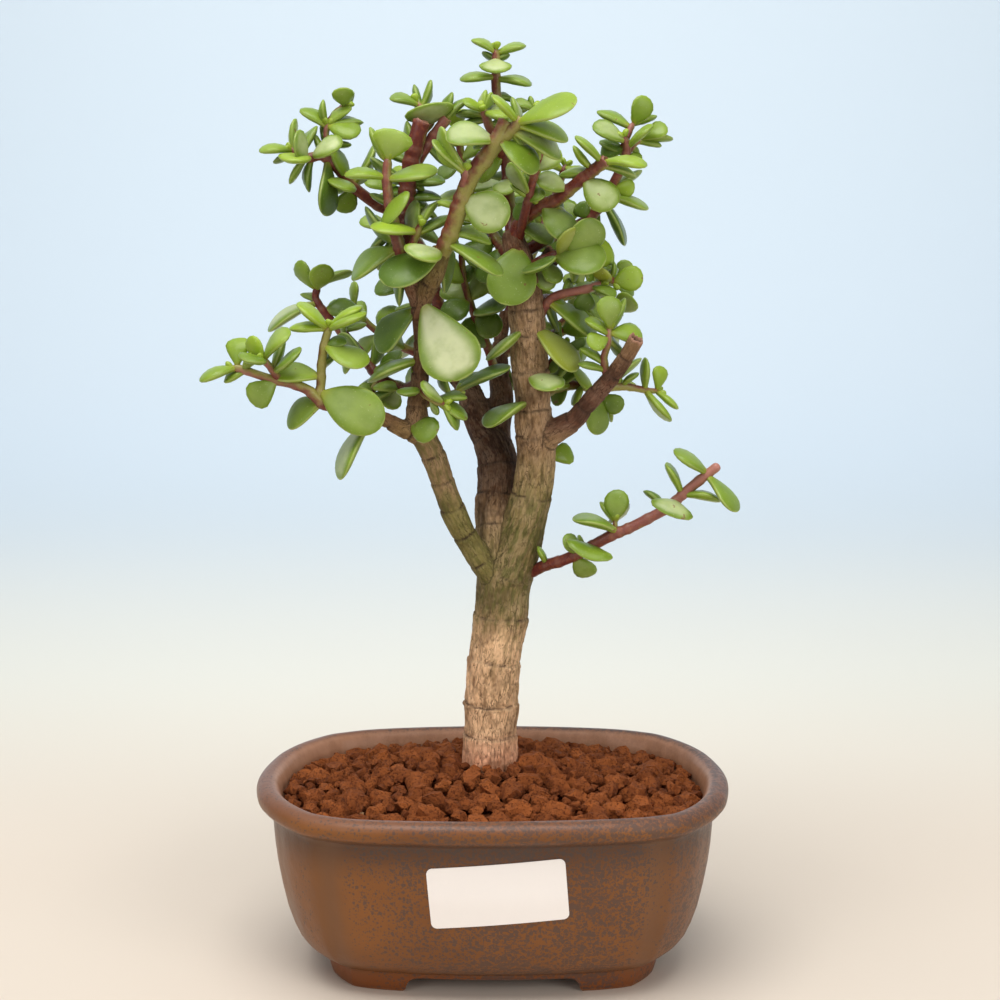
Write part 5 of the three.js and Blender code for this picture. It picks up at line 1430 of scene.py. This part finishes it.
# -------------------------------- label
def wall_front(x, z, stand_off):
    """How far towards the front the wall stands at a place on its front face."""
    heights = [height for _, height in OUTER_WALL]
    inset = np.interp(z, heights, [inset for inset, _ in OUTER_WALL]) - stand_off
    turns = np.linspace(16 / 24, 20 / 24, 33)
    points = np.array([plan_point(turn, inset) for turn in turns])
    return np.interp(x, points[:, 0], points[:, 1])


def make_label():
    """A rounded slip of paper, cut into strips both ways so that it follows the wall."""
    clear_selection()
    bpy.ops.mesh.primitive_plane_add(size=MM)
    label = bpy.context.object
    label.name = "blank_sticker"
    width, height = LABEL_SIZE
    edit_all()
    bpy.ops.transform.resize(value=(width, height, 1))
    bpy.ops.mesh.bevel(offset=LABEL_CORNER * MM, segments=6, affect="VERTICES")
    for axis, length, strips in ((0, width, 20), (1, height, 10)):
        for strip in range(1, strips):
            across = (strip / strips - 0.5) * length * MM
            bpy.ops.mesh.select_all(action="SELECT")
            bpy.ops.mesh.bisect(
                plane_co=(across, 0, 0) if axis == 0 else (0, across, 0),
                plane_no=(1, 0, 0) if axis == 0 else (0, 1, 0),
            )
    bpy.ops.object.mode_set(mode="OBJECT")
    flat = points_of(label) / MM
    tilt = math.radians(LABEL_TILT)
    placed_points = []
    for x, y, _ in flat:
        at_x = LABEL_PLACE[0] + x * math.cos(tilt) - y * math.sin(tilt)
        at_z = LABEL_PLACE[1] + x * math.sin(tilt) + y * math.cos(tilt)
        corner_lift = 0.25 * max(0, (x - y) / 30 - 0.75)
        placed_points.append((at_x, wall_front(at_x, at_z, LABEL_STAND_OFF + corner_lift), at_z))
    move_points(label, in_frame(placed_points))
    apply_modifier(label, "SOLIDIFY", thickness=LABEL_THICKNESS * MM, offset=1)
    only(label)
    edit_all()
    bpy.ops.mesh.normals_make_consistent(inside=False)
    bpy.ops.object.mode_set(mode="OBJECT")
    smooth(label, 30)
    label.data.materials.append(paper_material())
    finish_piece(label, "label_paper", "blank_label")


# -------------------------------- soil
def soil_height(x, y):
    """The smooth mound below the grains."""
    reach = math.hypot(x / 66, (y - 6) / 46)
    return SOIL_MIDDLE - SOIL_FALL * min(1, reach) ** 1.5


def make_soil_bed():
    """The body under the loose grains, painted dark as the shade in the gaps between them, clear of the
    drain meshes and the wall.
    """
    sides = POT_SIDES // 3
    turns = [number / sides for number in range(sides)]
    rings = [[(*plan_point(turn, inset), z) for turn in turns] for inset, z in SOIL_BED_SIDE]
    for share in SOIL_BED_RINGS:
        ring = []
        for turn in turns:
            x, y = plan_point(turn, SOIL_WALL + 0.5) * share
            uneven = 0.9 * noise.noise(Vector((x / 5, y / 5, 3)))
            ring.append((x, y, soil_height(x, y) - SOIL_BED_DEPTH + uneven))
        rings.append(ring)
    bed = draw_skin("soil_bed", rings)
    # Painted shade: the bed takes the soil's darkest tone.
    paint(bed, "grain_tone", "FLOAT_COLOR", np.tile((0.0, 0, 0, 1), (len(bed.data.vertices), 1)))
    return bed


def make_grain(number):
    """One lumpy, chipped granule of about 1 mm radius."""
    clear_selection()
    bpy.ops.mesh.primitive_ico_sphere_add(subdivisions=2, radius=MM)
    grain = bpy.context.object
    grain.name = f"grain_{number}"
    edit_all()
    bpy.ops.transform.vertex_random(offset=0.25 * MM, uniform=0.4, normal=0.85, seed=number)
    bpy.ops.transform.resize(value=(1.1, dice.uniform(0.85, 1.0), dice.uniform(0.78, 0.95)))
    bpy.ops.object.mode_set(mode="OBJECT")
    apply_modifier(grain, "DECIMATE", ratio=0.8)
    return grain


def scatter_grains():
    """Places for the grains, largest first, as x, y, radius: none close to another or in the wood."""
    wall = np.array([plan_point(number / 120, SOIL_WALL) for number in range(120)])
    edge = np.roll(wall, -1, axis=0) - wall
    inwards = np.stack([-edge[:, 1], edge[:, 0]], axis=1) / np.linalg.norm(edge, axis=1)[:, None]
    spots = np.array([(x, y, size / 2) for x, y, size in PEBBLES])
    trunk_foot = np.array(WOOD[TRUNK].route[2][:2])
    for radius, tries in GRAIN_SIZES:
        for _ in range(tries):
            spot = np.array([dice.uniform(-70, 70), dice.uniform(-50, 50)])
            inside = ((spot - wall) * inwards).sum(axis=1).min()
            if inside < radius * 0.85:
                continue
            if np.hypot(*(spot - trunk_foot)) < TRUNK_ROOM + radius * 0.6:
                continue
            away = np.hypot(spots[:, 0] - spot[0], spots[:, 1] - spot[1])
            if (away > GRAIN_CLOSENESS * (spots[:, 2] + radius)).all():
                spots = np.vstack([spots, (*spot, radius)])
    return spots


def make_soil():
    shapes = [make_grain(number) for number in range(GRAIN_SHAPES)]
    grains = [make_soil_bed()]
    for number, (x, y, radius) in enumerate(scatter_grains()):
        grain = copy_of(shapes[number % GRAIN_SHAPES], "grain")
        is_pebble = number < len(PEBBLES)
        lie = [dice.uniform(-0.5, 0.5), dice.uniform(-0.5, 0.5), dice.uniform(0, 2 * math.pi)]
        spin = Matrix.Identity(4)
        for axis, angle in zip("ZXY", (lie[2], lie[0], lie[1])):
            spin = spin @ Matrix.Rotation(angle, 4, axis)
        is_fine = radius < FINE_GRAIN
        height = soil_height(x, y) - 0.42 * radius + dice.uniform(-1.1, 0.5) * (1.3 if is_fine else 0.7)
        place = Matrix.Translation(in_frame((x, y, height)))
        grain.data.transform(place @ spin @ Matrix.Scale(radius, 4))
        # Painted shade: fine grains lie deeper and are made darker.
        bright = dice.uniform(0.3, 1.0) - (0.25 if is_fine else 0)
        tone = (bright, 0.85 * is_pebble, 0, 1)
        paint(grain, "grain_tone", "FLOAT_COLOR", np.tile(tone, (len(grain.data.vertices), 1)))
        grains.append(grain)
    soil = join("clay_granules", grains)
    for shape in shapes:
        bpy.data.objects.remove(shape)
    smooth(soil, 46)
    soil.data.materials.append(soil_material())
    finish_piece(soil, "soil_clay", "soil")


# -------------------------------- wood
LIMB_SIDES = 20
BARK_GRAIN = 0.55  # size of the bark's mesh
BARK_SOFTENING = 10  # rounds of smoothing, which fill the forks
CUT_LIMBS = (SNAG, STUB)  # limbs that end in a torn, hollow cut
CUT_DEPTH = 2.2
ROOTS_TOP = 69
ROOTS_MIDDLE = (-1.5, 6)
LIMBS = [Stem(limb.route, [point[3] for point in limb.route]) for limb in WOOD]
# Ridges at the trunk's foot, as (degrees round it, reach, spread in degrees).
ROOT_RIDGES = [(-118, 1.2, 6), (-99, 1.0, 4), (-82, 1.7, 5), (-62, 1.2, 4), (-40, 0.9, 5), (60, 1.0, 9)]


def limb_lines(limb, step=1.0):
    """A limb's middle line as arrays: points, lengths, radii, tangents, sides and fronts."""
    places, lengths = limb.places(step)
    points = np.array([limb.point(at) for at in places])
    tangents = np.array([limb.tangent(at) for at in places])
    across = np.array([limb.across(at) for at in places])
    radii = np.array([limb.radius(at) for at in places])
    return points, lengths, radii, tangents, across[:, 0], across[:, 1]


def find_limbs(points):
    """For each point the limb it lies on, its length along it, and how far to its side and front."""
    best = np.full(len(points), 1e9)
    found = {name: np.zeros(len(points)) for name in ("limb", "along", "side", "front")}
    for number, limb in enumerate(LIMBS):
        middle, lengths, radii, tangents, sides, fronts = limb_lines(limb)
        squares = (points**2).sum(1)[:, None] + (middle**2).sum(1)[None] - 2 * points @ middle.T
        nearest = squares.argmin(axis=1)
        away = points - middle[nearest]
        beyond = (away * tangents[nearest]).sum(1)
        side = (away * sides[nearest]).sum(1)
        front = (away * fronts[nearest]).sum(1)
        gap = np.sqrt(np.maximum(squares[np.arange(len(points)), nearest], 0)) - radii[nearest]
        closer = gap < best
        best = np.where(closer, gap, best)
        values = (number, lengths[nearest] + beyond, side, front)
        for name, value in zip(found, values):
            found[name] = np.where(closer, value, found[name])
    return found


def limb_rings(number):
    """The lengths along a limb at which its bark rings lie, from their heights."""
    points, lengths = limb_lines(LIMBS[number])[:2]
    return [np.interp(height, points[:, 2], lengths) for height in WOOD[number].rings]


def bark_at(along, side, front, rings, rough, foot):
    """How far the bark stands out at a point, and how much of it is ring groove and crack."""
    angle = math.atan2(front, side)
    radius = math.hypot(side, front)
    lump = noise.noise(Vector((side / 5, front / 5, along / 11)))
    fibre = noise.noise(Vector((side * 0.85, front * 0.85, along * 0.10)))
    fine = noise.noise(Vector((side * 2.0, front * 2.0, along * 0.28 + 40)))
    height = 0.55 * rough * lump + 0.34 * rough * fibre + 0.16 * rough * fine
    wobble = 0.7 * rough * noise.noise(Vector((math.cos(angle) * 1.6, math.sin(angle) * 1.6, along / 9)))
    at = along + wobble
    groove = 0.0
    inner_wall_glaze = noise.noise(Vector((side / 3.2, front / 3.2, along / 6 + 7)))
    broken = 0.35 + 0.65 * min(1, max(0, 0.5 + 2.2 * inner_wall_glaze))
    for ring in rings:
        away = at - ring
        groove = max(groove, bell(away, 0.42) * broken)
        if -6 < away < 0:
            height += 0.055 * radius * (1 + away / 6) ** 1.8
        elif 0 <= away < 2:
            height -= 0.008 * radius * (1 - away / 2)
    height -= 0.45 * groove
    edges = noise.voronoi(Vector((side / 2.4, front / 2.4, along / 7.5)))[0]
    plate = edges[1] - edges[0]
    crack = max(0.0, 1 - plate / 0.10) * rough
    flake = noise.cell(Vector((side / 2.4 + 9, front / 2.4, along / 7.5)))
    height += (0.16 * flake - 0.30 * crack) * rough * (0.5 + 0.5 * foot)
    return height, groove, crack


def root_bulge(x, y, z):
    """How far the root ridges stand out at the trunk's foot."""
    angle = math.degrees(math.atan2(y - ROOTS_MIDDLE[1], x - ROOTS_MIDDLE[0]))
    bulge = 0.0
    for ridge, reach, spread in ROOT_RIDGES:
        away = (angle - ridge + 180) % 360 - 180
        fade = rise(z, ROOTS_TOP, ROOTS_TOP - 4)
        bulge = max(bulge, reach * bell(away, 1.6 * spread) * fade)
    return bulge


def tone_at(stops, z):
    """A limb's bark tone at a height."""
    heights, tones = zip(*stops)
    return [np.interp(z, heights, parts) for parts in zip(*tones)]


def torn_end(limb, beyond, side, front):
    """The move that hollows and tears a cut limb's end, and how shaded and how bare the wood is there."""
    across = math.hypot(side, front) / limb.radii[-1]
    depth = max(0.0, 1 - (across / 0.8) ** 4)
    torn = 1.2 * noise.noise(Vector((side, front, 5))) * min(1, across)
    move = (torn - CUT_DEPTH * depth) * limb.tangent(limb.spans)
    return move, 0.9 * min(1.0, 1.5 * depth), max(0.0, 1 - 1.3 * depth) * min(1.0, 1.3 * (beyond + 1.2))


def lichen_share(number, x, z):
    """Green growth on the right of the trunk and round the fork."""
    if number in (TRUNK, SECOND_TRUNK):
        top = 165 if number == TRUNK else 146
        on_right = rise(z, 70, 120) * rise(x, -6, 4)
        at_fork = 0.7 * rise(z, 97, 109)
        return max(on_right, at_fork) * rise(z, top, top - 20)
    return 0.75 if number == LEFT_BRANCH and z < 172 else 0.0


def make_bare_wood():
    """The limbs as round bars, melted into one body."""
    limbs = []
    for limb in LIMBS:
        rings = [limb.ring(at, limb.radius(at), LIMB_SIDES) for at in limb.places(3)[0]]
        limbs.append(draw_skin("limb", rings))
    trunk = join("woody_trunk", limbs)
    apply_modifier(trunk, "REMESH", mode="VOXEL", voxel_size=BARK_GRAIN * MM, adaptivity=0)
    apply_modifier(trunk, "SMOOTH", factor=0.5, iterations=BARK_SOFTENING)
    trunk.data.update()
    return trunk


def make_trunk():
    trunk = make_bare_wood()
    points = plan_points_of(trunk)
    normals = points_of(trunk, "normal")
    found = find_limbs(points)
    rings = [limb_rings(number) for number in range(len(LIMBS))]
    limb_ends = {number: limb_lines(LIMBS[number])[1][-1] for number in CUT_LIMBS}
    heights, lichen, age = np.zeros((3, len(points)))
    hollow = np.zeros((len(points), 3))
    marks = np.zeros((len(points), 4))
    tones = np.ones((len(points), 4))
    for index, (x, y, z) in enumerate(points):
        number = int(found["limb"][index])
        limb = WOOD[number]
        along, side, front = (found[name][index] for name in ("along", "side", "front"))
        foot = rise(z, 125, 85) if number == TRUNK else 0.0
        height, groove, crack = bark_at(along, side, front, rings[number], limb.rough, foot)
        if number == TRUNK and z < ROOTS_TOP:
            height += root_bulge(x, y, z)
        heights[index] = height
        tones[index, :3] = tone_at(limb.tones, z)
        age[index] = limb.rough
        if number in CUT_LIMBS and along > limb_ends[number] - CUT_DEPTH:
            beyond = along - limb_ends[number]
            # In a torn end the groove share is painted shade, which darkens the hollow.
            hollow[index], groove, marks[index, 2] = torn_end(LIMBS[number], beyond, side, front)
            crack = 0.0
        marks[index, :2] = (groove, crack)
        lichen[index] = lichen_share(number, x, z)
    blended = soften(trunk, tones)
    move_points(trunk, in_frame(points + normals * heights[:, None] + hollow))
    paint(trunk, "bark_tone", "FLOAT_COLOR", blended)
    paint(trunk, "bark_marks_and_shade", "FLOAT_COLOR", marks)
    paint(trunk, "lichen", "FLOAT", lichen)
    paint(trunk, "old_bark", "FLOAT", age)
    space = np.stack([found["side"], found["front"], found["along"] + 300 * found["limb"]], axis=1)
    paint(trunk, "limb_space", "FLOAT_VECTOR", space)
    smooth(trunk, 180)
    trunk.data.materials.append(bark_material())
    finish_piece(trunk, "bark", "trunk")


def soften(piece, tones, rounds=4):
    """Tones averaged with their neighbours', so that no hard edge shows where limbs meet."""
    edges = np.empty(len(piece.data.edges) * 2, int)
    piece.data.edges.foreach_get("vertices", edges)
    first, second = edges.reshape(-1, 2).T
    for _ in range(rounds):
        total = tones.copy()
        count = np.ones(len(tones))
        for a, b in ((first, second), (second, first)):
            for part in range(4):
                total[:, part] += np.bincount(a, tones[b, part], len(tones))
            count += np.bincount(a, minlength=len(tones))
        tones = total / count[:, None]
    return tones


# -------------------------------- where the leaves stand
PROBES = np.array(
    [(0.25, 0), (0.45, -0.8), (0.45, 0), (0.45, 0.8), (0.75, -1), (0.75, 0), (0.75, 1), (1, 0)], float
)


class Leaf:
    """A leaf's place: its root, the way it reaches, and the way its upper face looks."""

    def __init__(self, root, reach, face, width=None, tone=None):
        self.root = np.array(root, float)
        self.tone = tone
        self.length = float(np.linalg.norm(reach))
        self.along = np.array(reach, float) / self.length
        self.normal = unit(np.array(face, float) - self.along * self.along.dot(np.array(face, float)))
        self.across = np.cross(self.along, self.normal)
        self.width = width or LEAF_WIDTH_TO_LENGTH * self.length
        self.thickness = min(3.0, 1.4 + 0.1 * self.length)
        self.probes = self.point(PROBES[:, :1], PROBES[:, 1:], 0)

    def point(self, part, sideways, up):
        """A point by its share of the length, of the half width and of the half thickness."""
        raised = up * self.thickness / 2 - LEAF_CUP * self.length * part**2
        on_line = self.root + part * self.length * self.along
        return on_line + sideways * self.width / 2 * self.across + raised * self.normal

    def sticks_out(self):
        """How far the leaf's rim lies outside the plant's room."""
        rim = in_frame(self.probes)
        low, high = (np.array(corner) for corner in CAD_BOX)
        return max(0, (low - rim).max() / MM + LEAF_ROOM, (rim - high).max() / MM + LEAF_ROOM)

    def sinks_in(self, other):
        """How deep this leaf's probes lie in another leaf."""
        if np.linalg.norm(self.root - other.root) > self.length + other.length + 3:
            return 0
        away = self.probes - other.root
        along = away @ other.along / other.length
        across = away @ other.across / (other.width / 2)
        bow = LEAF_CUP * other.length * along**2
        depth = (self.thickness + other.thickness) / 2 + LEAF_CLEAR - np.abs(away @ other.normal + bow)
        inside = ((along - 0.55) / 0.53) ** 2 + across**2 <= 1.2
        return max(0, np.where(inside, depth, 0).max())

    def sinks_in_rods(self, rods):
        """How deep the probes lie in the nearest of the straight rods, given as arrays."""
        starts, ends, radii = rods
        run = ends - starts
        away = self.probes[:, None] - starts[None]
        share = np.clip((away * run).sum(-1) / (run**2).sum(-1), 0, 1)
        gap = np.linalg.norm(away - share[..., None] * run, axis=-1)
        return (radii[None] + self.thickness / 2 + LEAF_CLEAR - gap).max()


def shown_leaf(root, reach, shown, tone, lean=(0, -0.2, 1), shift=0):
    """A leaf tilted about its length until it looks as wide from the front as it should."""
    reach = np.array(reach, float)
    to_viewer = unit(np.array(CAMERA_PLACE) - root)
    reach -= shift * to_viewer
    length = float(np.linalg.norm(reach))
    along = reach / length
    width = max(shown, min(FULL_WIDTH, LEAF_WIDTH_TO_LENGTH * length))
    facing = unit(to_viewer - along * along.dot(to_viewer))
    across = np.cross(along, facing)
    seen = (shown - EDGE_WIDTH) / (width - EDGE_WIDTH) if width > EDGE_WIDTH else 1
    tilt = math.acos(max(0, min(1, seen)))
    faces = [facing * math.cos(tilt) + across * math.sin(turn) for turn in (tilt, -tilt)]
    return Leaf(root, reach, max(faces, key=lambda face: face @ lean), width, tone)


def clearest_leaf(root, plan, placed, rods):
    """A planned leaf, its tip moved a little nearer or farther where it would stand in another."""
    near = [other for other in placed if np.linalg.norm(other.root - root) < NEIGHBOUR_REACH]
    tries = []
    for shift in LEAF_SHIFTS:
        leaf = shown_leaf(root, *plan, shift=shift)
        crowding = sum(max(leaf.sinks_in(other), other.sinks_in(leaf)) for other in near)
        crowding += max(0, leaf.sinks_in_rods(rods)) + leaf.sticks_out()
        tries.append((crowding + SHIFT_COST * abs(shift), shift, leaf))
        if crowding <= 0:
            break
    return min(tries, key=lambda found: found[:2])[2]


def even_radii(stem_plan):
    """The radii at a stem's route points, even from its root to its tip."""
    root, tip = stem_plan.radius
    last = len(stem_plan.route) - 1
    return [root + (tip - root) * number / last for number in range(last + 1)]


def rods_of(stem):
    """The stem as straight rods, each with its ends and its larger radius."""
    points = [stem.point(at) for at in range(stem.spans + 1)]
    return [
        (points[i], points[i + 1], max(stem.radius(i), stem.radius(i + 1))) for i in range(stem.spans)
    ]


def paired_leaf(stem, pair, turn, placed, rods):
    """One leaf of a pair, turned clear of what is there, or None where it can't be."""
    at, length, roll, lift = pair
    tangent = stem.tangent(at)
    side, front = stem.across(at)
    grown = length * (1 + LENGTH_VARIES * draw())
    roll_angle = math.radians(roll + turn + ANGLE_VARIES * draw())
    lift_angle = lift + ANGLE_VARIES * draw()
    twist = math.radians(TWIST_VARIES * draw())
    out = side * math.cos(roll_angle) + front * math.sin(roll_angle)
    root = stem.leaf_root(at)
    light = (root - CROWN_MIDDLE) / CROWN_REACH + LIGHT
    for size in CLEAR_SIZES:
        for more_lift, swing in CLEAR_TURNS:
            tilt = math.radians(lift_angle + more_lift)
            axis = out * math.cos(tilt) + tangent * math.sin(tilt)
            face = tangent * math.cos(tilt) - out * math.sin(tilt)
            axis = turned(axis, face, math.radians(swing))
            face = turned(face + light, axis, twist)
            leaf = Leaf(root, axis * grown * size, face)
            clear = all(leaf.sinks_in(other) <= 0 and other.sinks_in(leaf) <= 0 for other in placed)
            if clear and leaf.sinks_in_rods(rods) <= 0 and leaf.sticks_out() <= 0:
                return leaf
    return None


def grow():
    """The stems and leaves of each shoot, and the single leaves, by name."""
    shoots = {}
    for name, plans in SHOOTS.items():
        stems = [(Stem(plan.route, even_radii(plan)), plan) for plan in plans]
        shoots[name] = {"stems": stems, "leaves": []}
    rods = {}
    for name, shoot in shoots.items():
        rods[name] = [rod for stem, _ in shoot["stems"] for rod in rods_of(stem)]
    rods["wood"] = [rod for limb in LIMBS for rod in rods_of(limb)]
    singles = {name: shown_leaf(np.array(plan[0]), *plan[1:]) for name, plan in SINGLE_LEAVES.items()}
    placed = list(singles.values())
    other_rods = {}
    for name, shoot in shoots.items():
        others = [rod for owner, found in rods.items() if owner != name for rod in found]
        other_rods[name] = [np.array(column) for column in zip(*others)]
        for stem, plan in shoot["stems"]:
            for at, *leaf_plan in plan.leaves:
                leaf = clearest_leaf(stem.leaf_root(at), leaf_plan, placed, other_rods[name])
                placed.append(leaf)
                shoot["leaves"].append((leaf, stem, at))
    for name, shoot in shoots.items():
        for stem, plan in shoot["stems"]:
            for pair in plan.pairs:
                for turn in (0, 180):
                    leaf = paired_leaf(stem, pair, turn, placed, other_rods[name])
                    if leaf:
                        placed.append(leaf)
                        shoot["leaves"].append((leaf, stem, pair[0]))
    return shoots, singles


# -------------------------------- leaf shapes
# Outlines of leaves as (where one is widest, how full it is towards the root).
LEAF_SHAPES = [(0.66, 1.55), (0.71, 1.4), (0.61, 1.75), (0.65, 1.9)]
SMALL_LEAF_MESH = (10, 8)  # faces round and along
LARGE_LEAF_MESH = (22, 16)
LARGE_LENGTH = 13.5
LEAF_FULLER, LEAF_PLUMPER = 1.09, 1.25  # past the width and thickness that keep leaves apart
LEAF_ARCH = (0.0, 0.09)  # how high a leaf's middle rises, to its length


def leaf_half_width(part, widest, fullness):
    if part > widest:
        return math.sqrt(max(0, 1 - ((part - widest) / (1 - widest)) ** 2))
    root = 0.13 * math.sqrt(min(1, part / 0.03))
    return max(1 - (1 - part / widest) ** fullness, root)


def leaf_half_thickness(part):
    return min(1, 0.55 + 0.9 * part) * max(0, 1 - part**6) ** 0.7 * math.sqrt(min(1, part / 0.02))


def make_leaf_blank(number, shape, mesh_size):
    """A ball drawn out to a fleshy leaf one millimetre long, its tip up along Z."""
    around, lengthways = mesh_size
    clear_selection()
    bpy.ops.mesh.primitive_uv_sphere_add(segments=around, ring_count=lengthways, radius=MM)
    blank = bpy.context.object
    blank.name = f"leaf_blank_{number}_{around}"
    within = []
    for x, y, z in points_of(blank) / MM:
        part = min(1, max(0, (1 + z) / 2))
        spread = math.hypot(x, y)
        cosine, sine = (x / spread, y / spread) if spread > 1e-6 else (0, 0)
        width = leaf_half_width(part, *shape) * math.copysign(abs(cosine) ** 0.9, cosine)
        up = leaf_half_thickness(part) * math.copysign(abs(sine) ** 1.15, sine)
        up *= 0.8 if sine > 0 else 1
        rim = max(abs(cosine), min(1, max(0, (part - 0.82) / 0.17)))
        within.append((width, part, up, rim if part > 0.02 else 0))
    within = np.array(within)
    paint(blank, "leaf_place", "FLOAT_VECTOR", within[:, [0, 1, 3]])
    move_points(blank, within[:, :3] * MM)
    blank.data.materials.append(LEAF_FLESH)
    return blank, within


def make_leaf(leaf, tone, blanks):
    """A copy of a blank laid out at a leaf's place, a little cupped and bent in its own way."""
    is_large = leaf.length >= LARGE_LENGTH
    blank, within = dice.choice(blanks[is_large])
    made = copy_of(blank, "leaf")
    sideways, part, up = within[:, 0:1], within[:, 1:2], within[:, 2:3]
    cup = dice.uniform(-0.02, 0.1) * leaf.width
    curl = dice.uniform(-0.07, 0.03) * leaf.length
    bend = dice.uniform(-0.09, 0.09)
    points = leaf.point(part, LEAF_FULLER * sideways + bend * np.sin(math.pi * part), LEAF_PLUMPER * up)
    arch = dice.uniform(*LEAF_ARCH) * leaf.length * 4 * part * (1 - part)
    points += (cup * np.abs(sideways) ** 1.5 + curl * part**2 + arch) * leaf.normal
    move_points(made, in_frame(points))
    paint(made, "leaf_tone", "FLOAT_COLOR", np.tile((*tone, 1), (len(within), 1)))
    return made


# -------------------------------- shoots
STEM_SIDES = 9
STEM_STEP = 0.85
CUT_RADIUS = 1.4  # a stem as thick as this at its tip was cut there
BUD_LENGTH = 3.1
# Rings past the end of a thick stem, as (width, reach, how much of it is bare wood).
CUT_TIP = [(1.06, 0.2, 0.2), (0.88, 0.35, 0.8), (0.66, -0.5, 1), (0.3, -1.1, 0.7)]
BLUNT_TIP = [(0.95, 0.35, 0), (0.8, 0.65, 0), (0.5, 0.9, 0), (0.15, 1, 0)]


def stem_nodes(stem, plan):
    """The lengths along a stem at which leaves stand or once stood."""
    used = [pair[0] for pair in plan.pairs] + [leaf[0] for leaf in plan.leaves]
    bare = [at for at in range(1, stem.spans) if all(abs(at - other) > 0.45 for other in used)]
    places, lengths = stem.places(0.5)
    return [float(np.interp(at, places, lengths)) for at in sorted(set(used + bare))]


def make_stem(stem, plan):
    """A stem with its thicker nodes, redder on its left, and cut, blunt or fine at its tip."""
    redness, pinkness = plan.tint
    nodes = stem_nodes(stem, plan)
    places, lengths = stem.places(STEM_STEP)
    is_thick = plan.radius[1] >= CUT_RADIUS
    rings, marks = [], []
    for at, length in zip(places, lengths):
        near = min((length - node for node in nodes), key=abs, default=99)
        swell = 0.11 * bell(near + 0.7, 1.2) - 0.07 * bell(near - 0.6, 0.6)
        radius = stem.radius(at) * (1 + swell)
        if not is_thick:
            radius *= min(1, 0.55 + (lengths[-1] - length) / 4)
        rings.append(stem.ring(at, radius, STEM_SIDES))
        marks.append((bell(near + 0.1, 0.6), 0))
    if is_thick:
        radius = stem.radii[-1]
        torn = np.array([dice.uniform(-0.3, 0.4) for _ in range(STEM_SIDES)])[:, None]
        torn *= radius * (not plan.blunt)
        for width, depth, cut in BLUNT_TIP if plan.blunt else CUT_TIP:
            raised = stem.tangent(stem.spans) * (depth * radius + torn * min(1, 2 * width - 0.9))
            rings.append(stem.ring(stem.spans, width * radius, STEM_SIDES) + raised)
            marks.append((0, cut))
    made = draw_skin("stem", rings)
    count = len(made.data.vertices)
    turns = 2 * math.pi * np.arange(STEM_SIDES) / STEM_SIDES
    sunny = 0.42 * (0.3 * np.sin(turns) - np.cos(turns))
    tone = np.ones((count, 4))
    for number, (node, cut) in enumerate(marks):
        rows = slice(number * STEM_SIDES, (number + 1) * STEM_SIDES)
        tone[rows, 0] = np.clip(redness + sunny, 0, 1)
        tone[rows, 1] = node
        tone[rows, 2] = cut
    paint(made, "stem_tone", "FLOAT_COLOR", tone)
    along = np.repeat(np.linspace(0.15, 1, len(marks)) ** 2.6, STEM_SIDES)
    paint(made, "stem_pink", "FLOAT", pinkness * np.resize(along, count))
    made.data.materials.append(STEM_SKIN)
    return made


def make_bud(stem, blanks):
    """Two tiny leaves that open at a growing tip."""
    tip, tangent = stem.point(stem.spans), stem.tangent(stem.spans)
    side, front = stem.across(stem.spans)
    turn = dice.uniform(0, math.pi)
    out = side * math.cos(turn) + front * math.sin(turn)
    leaves = []
    for way in (-1, 1):
        reach = unit(tangent + 0.55 * way * out) * BUD_LENGTH
        leaf = Leaf(tip - 0.7 * tangent, reach, tangent * 0.5 - way * out)
        leaves.append(make_leaf(leaf, (0.95, 0, 0.1), blanks))
    return leaves


def leaf_colour(leaf, stem, at):
    """Young, silvery and yellow shares of a leaf: brightest near the tip of its stem, with painted light up
    high and painted shade at the back.
    """
    if leaf.tone:
        young_and_lit, bloom, yellow = leaf.tone
        young_and_lit = min(1, max(0, young_and_lit + dice.uniform(-0.13, 0.13)))
        return (young_and_lit, max(0, bloom + dice.uniform(-0.1, 0.1)), yellow)
    near_tip = at / stem.spans
    # Painted light and shade: leaves high up are made brighter, and those at the back darker.
    young_and_lit = 0.38 + 0.32 * near_tip + 0.12 * (leaf.root[2] - 215) / 60 + dice.uniform(-0.22, 0.22)
    if leaf.root[1] > 12:
        young_and_lit -= 0.15
    bloom = max(0, dice.uniform(-0.3, 0.45)) if leaf.length > 10 else 0.05
    return (min(1, max(0.05, young_and_lit)), bloom, max(0, dice.uniform(-0.5, 0.16)))


def make_shoots():
    blanks = {
        is_large: [make_leaf_blank(number, shape, size) for number, shape in enumerate(LEAF_SHAPES)]
        for is_large, size in ((False, SMALL_LEAF_MESH), (True, LARGE_LEAF_MESH))
    }
    shoots, singles = grow()
    for name, shoot in shoots.items():
        pieces = [make_stem(stem, plan) for stem, plan in shoot["stems"]]
        for leaf, stem, at in shoot["leaves"]:
            pieces.append(make_leaf(leaf, leaf_colour(leaf, stem, at), blanks))
        for stem, plan in shoot["stems"]:
            if plan.radius[1] < CUT_RADIUS:
                pieces += make_bud(stem, blanks)
        grown = join(name + "_grown", pieces)
        smooth(grown, 75)
        finish_piece(grown, "leaf", name)
    for name, leaf in singles.items():
        made = make_leaf(leaf, leaf.tone, blanks)
        made.name = name + "_grown"
        smooth(made, 75)
        finish_piece(made, "leaf", name)
    for found in blanks.values():
        for blank, _ in found:
            bpy.data.objects.remove(blank)


# -------------------------------- the whole bonsai
make_camera()
make_lights()
make_stage()
LEAF_FLESH = leaf_material()
STEM_SKIN = stem_material()
make_pot()
dress_drain_meshes()
make_label()
make_soil()
make_trunk()
make_shoots()
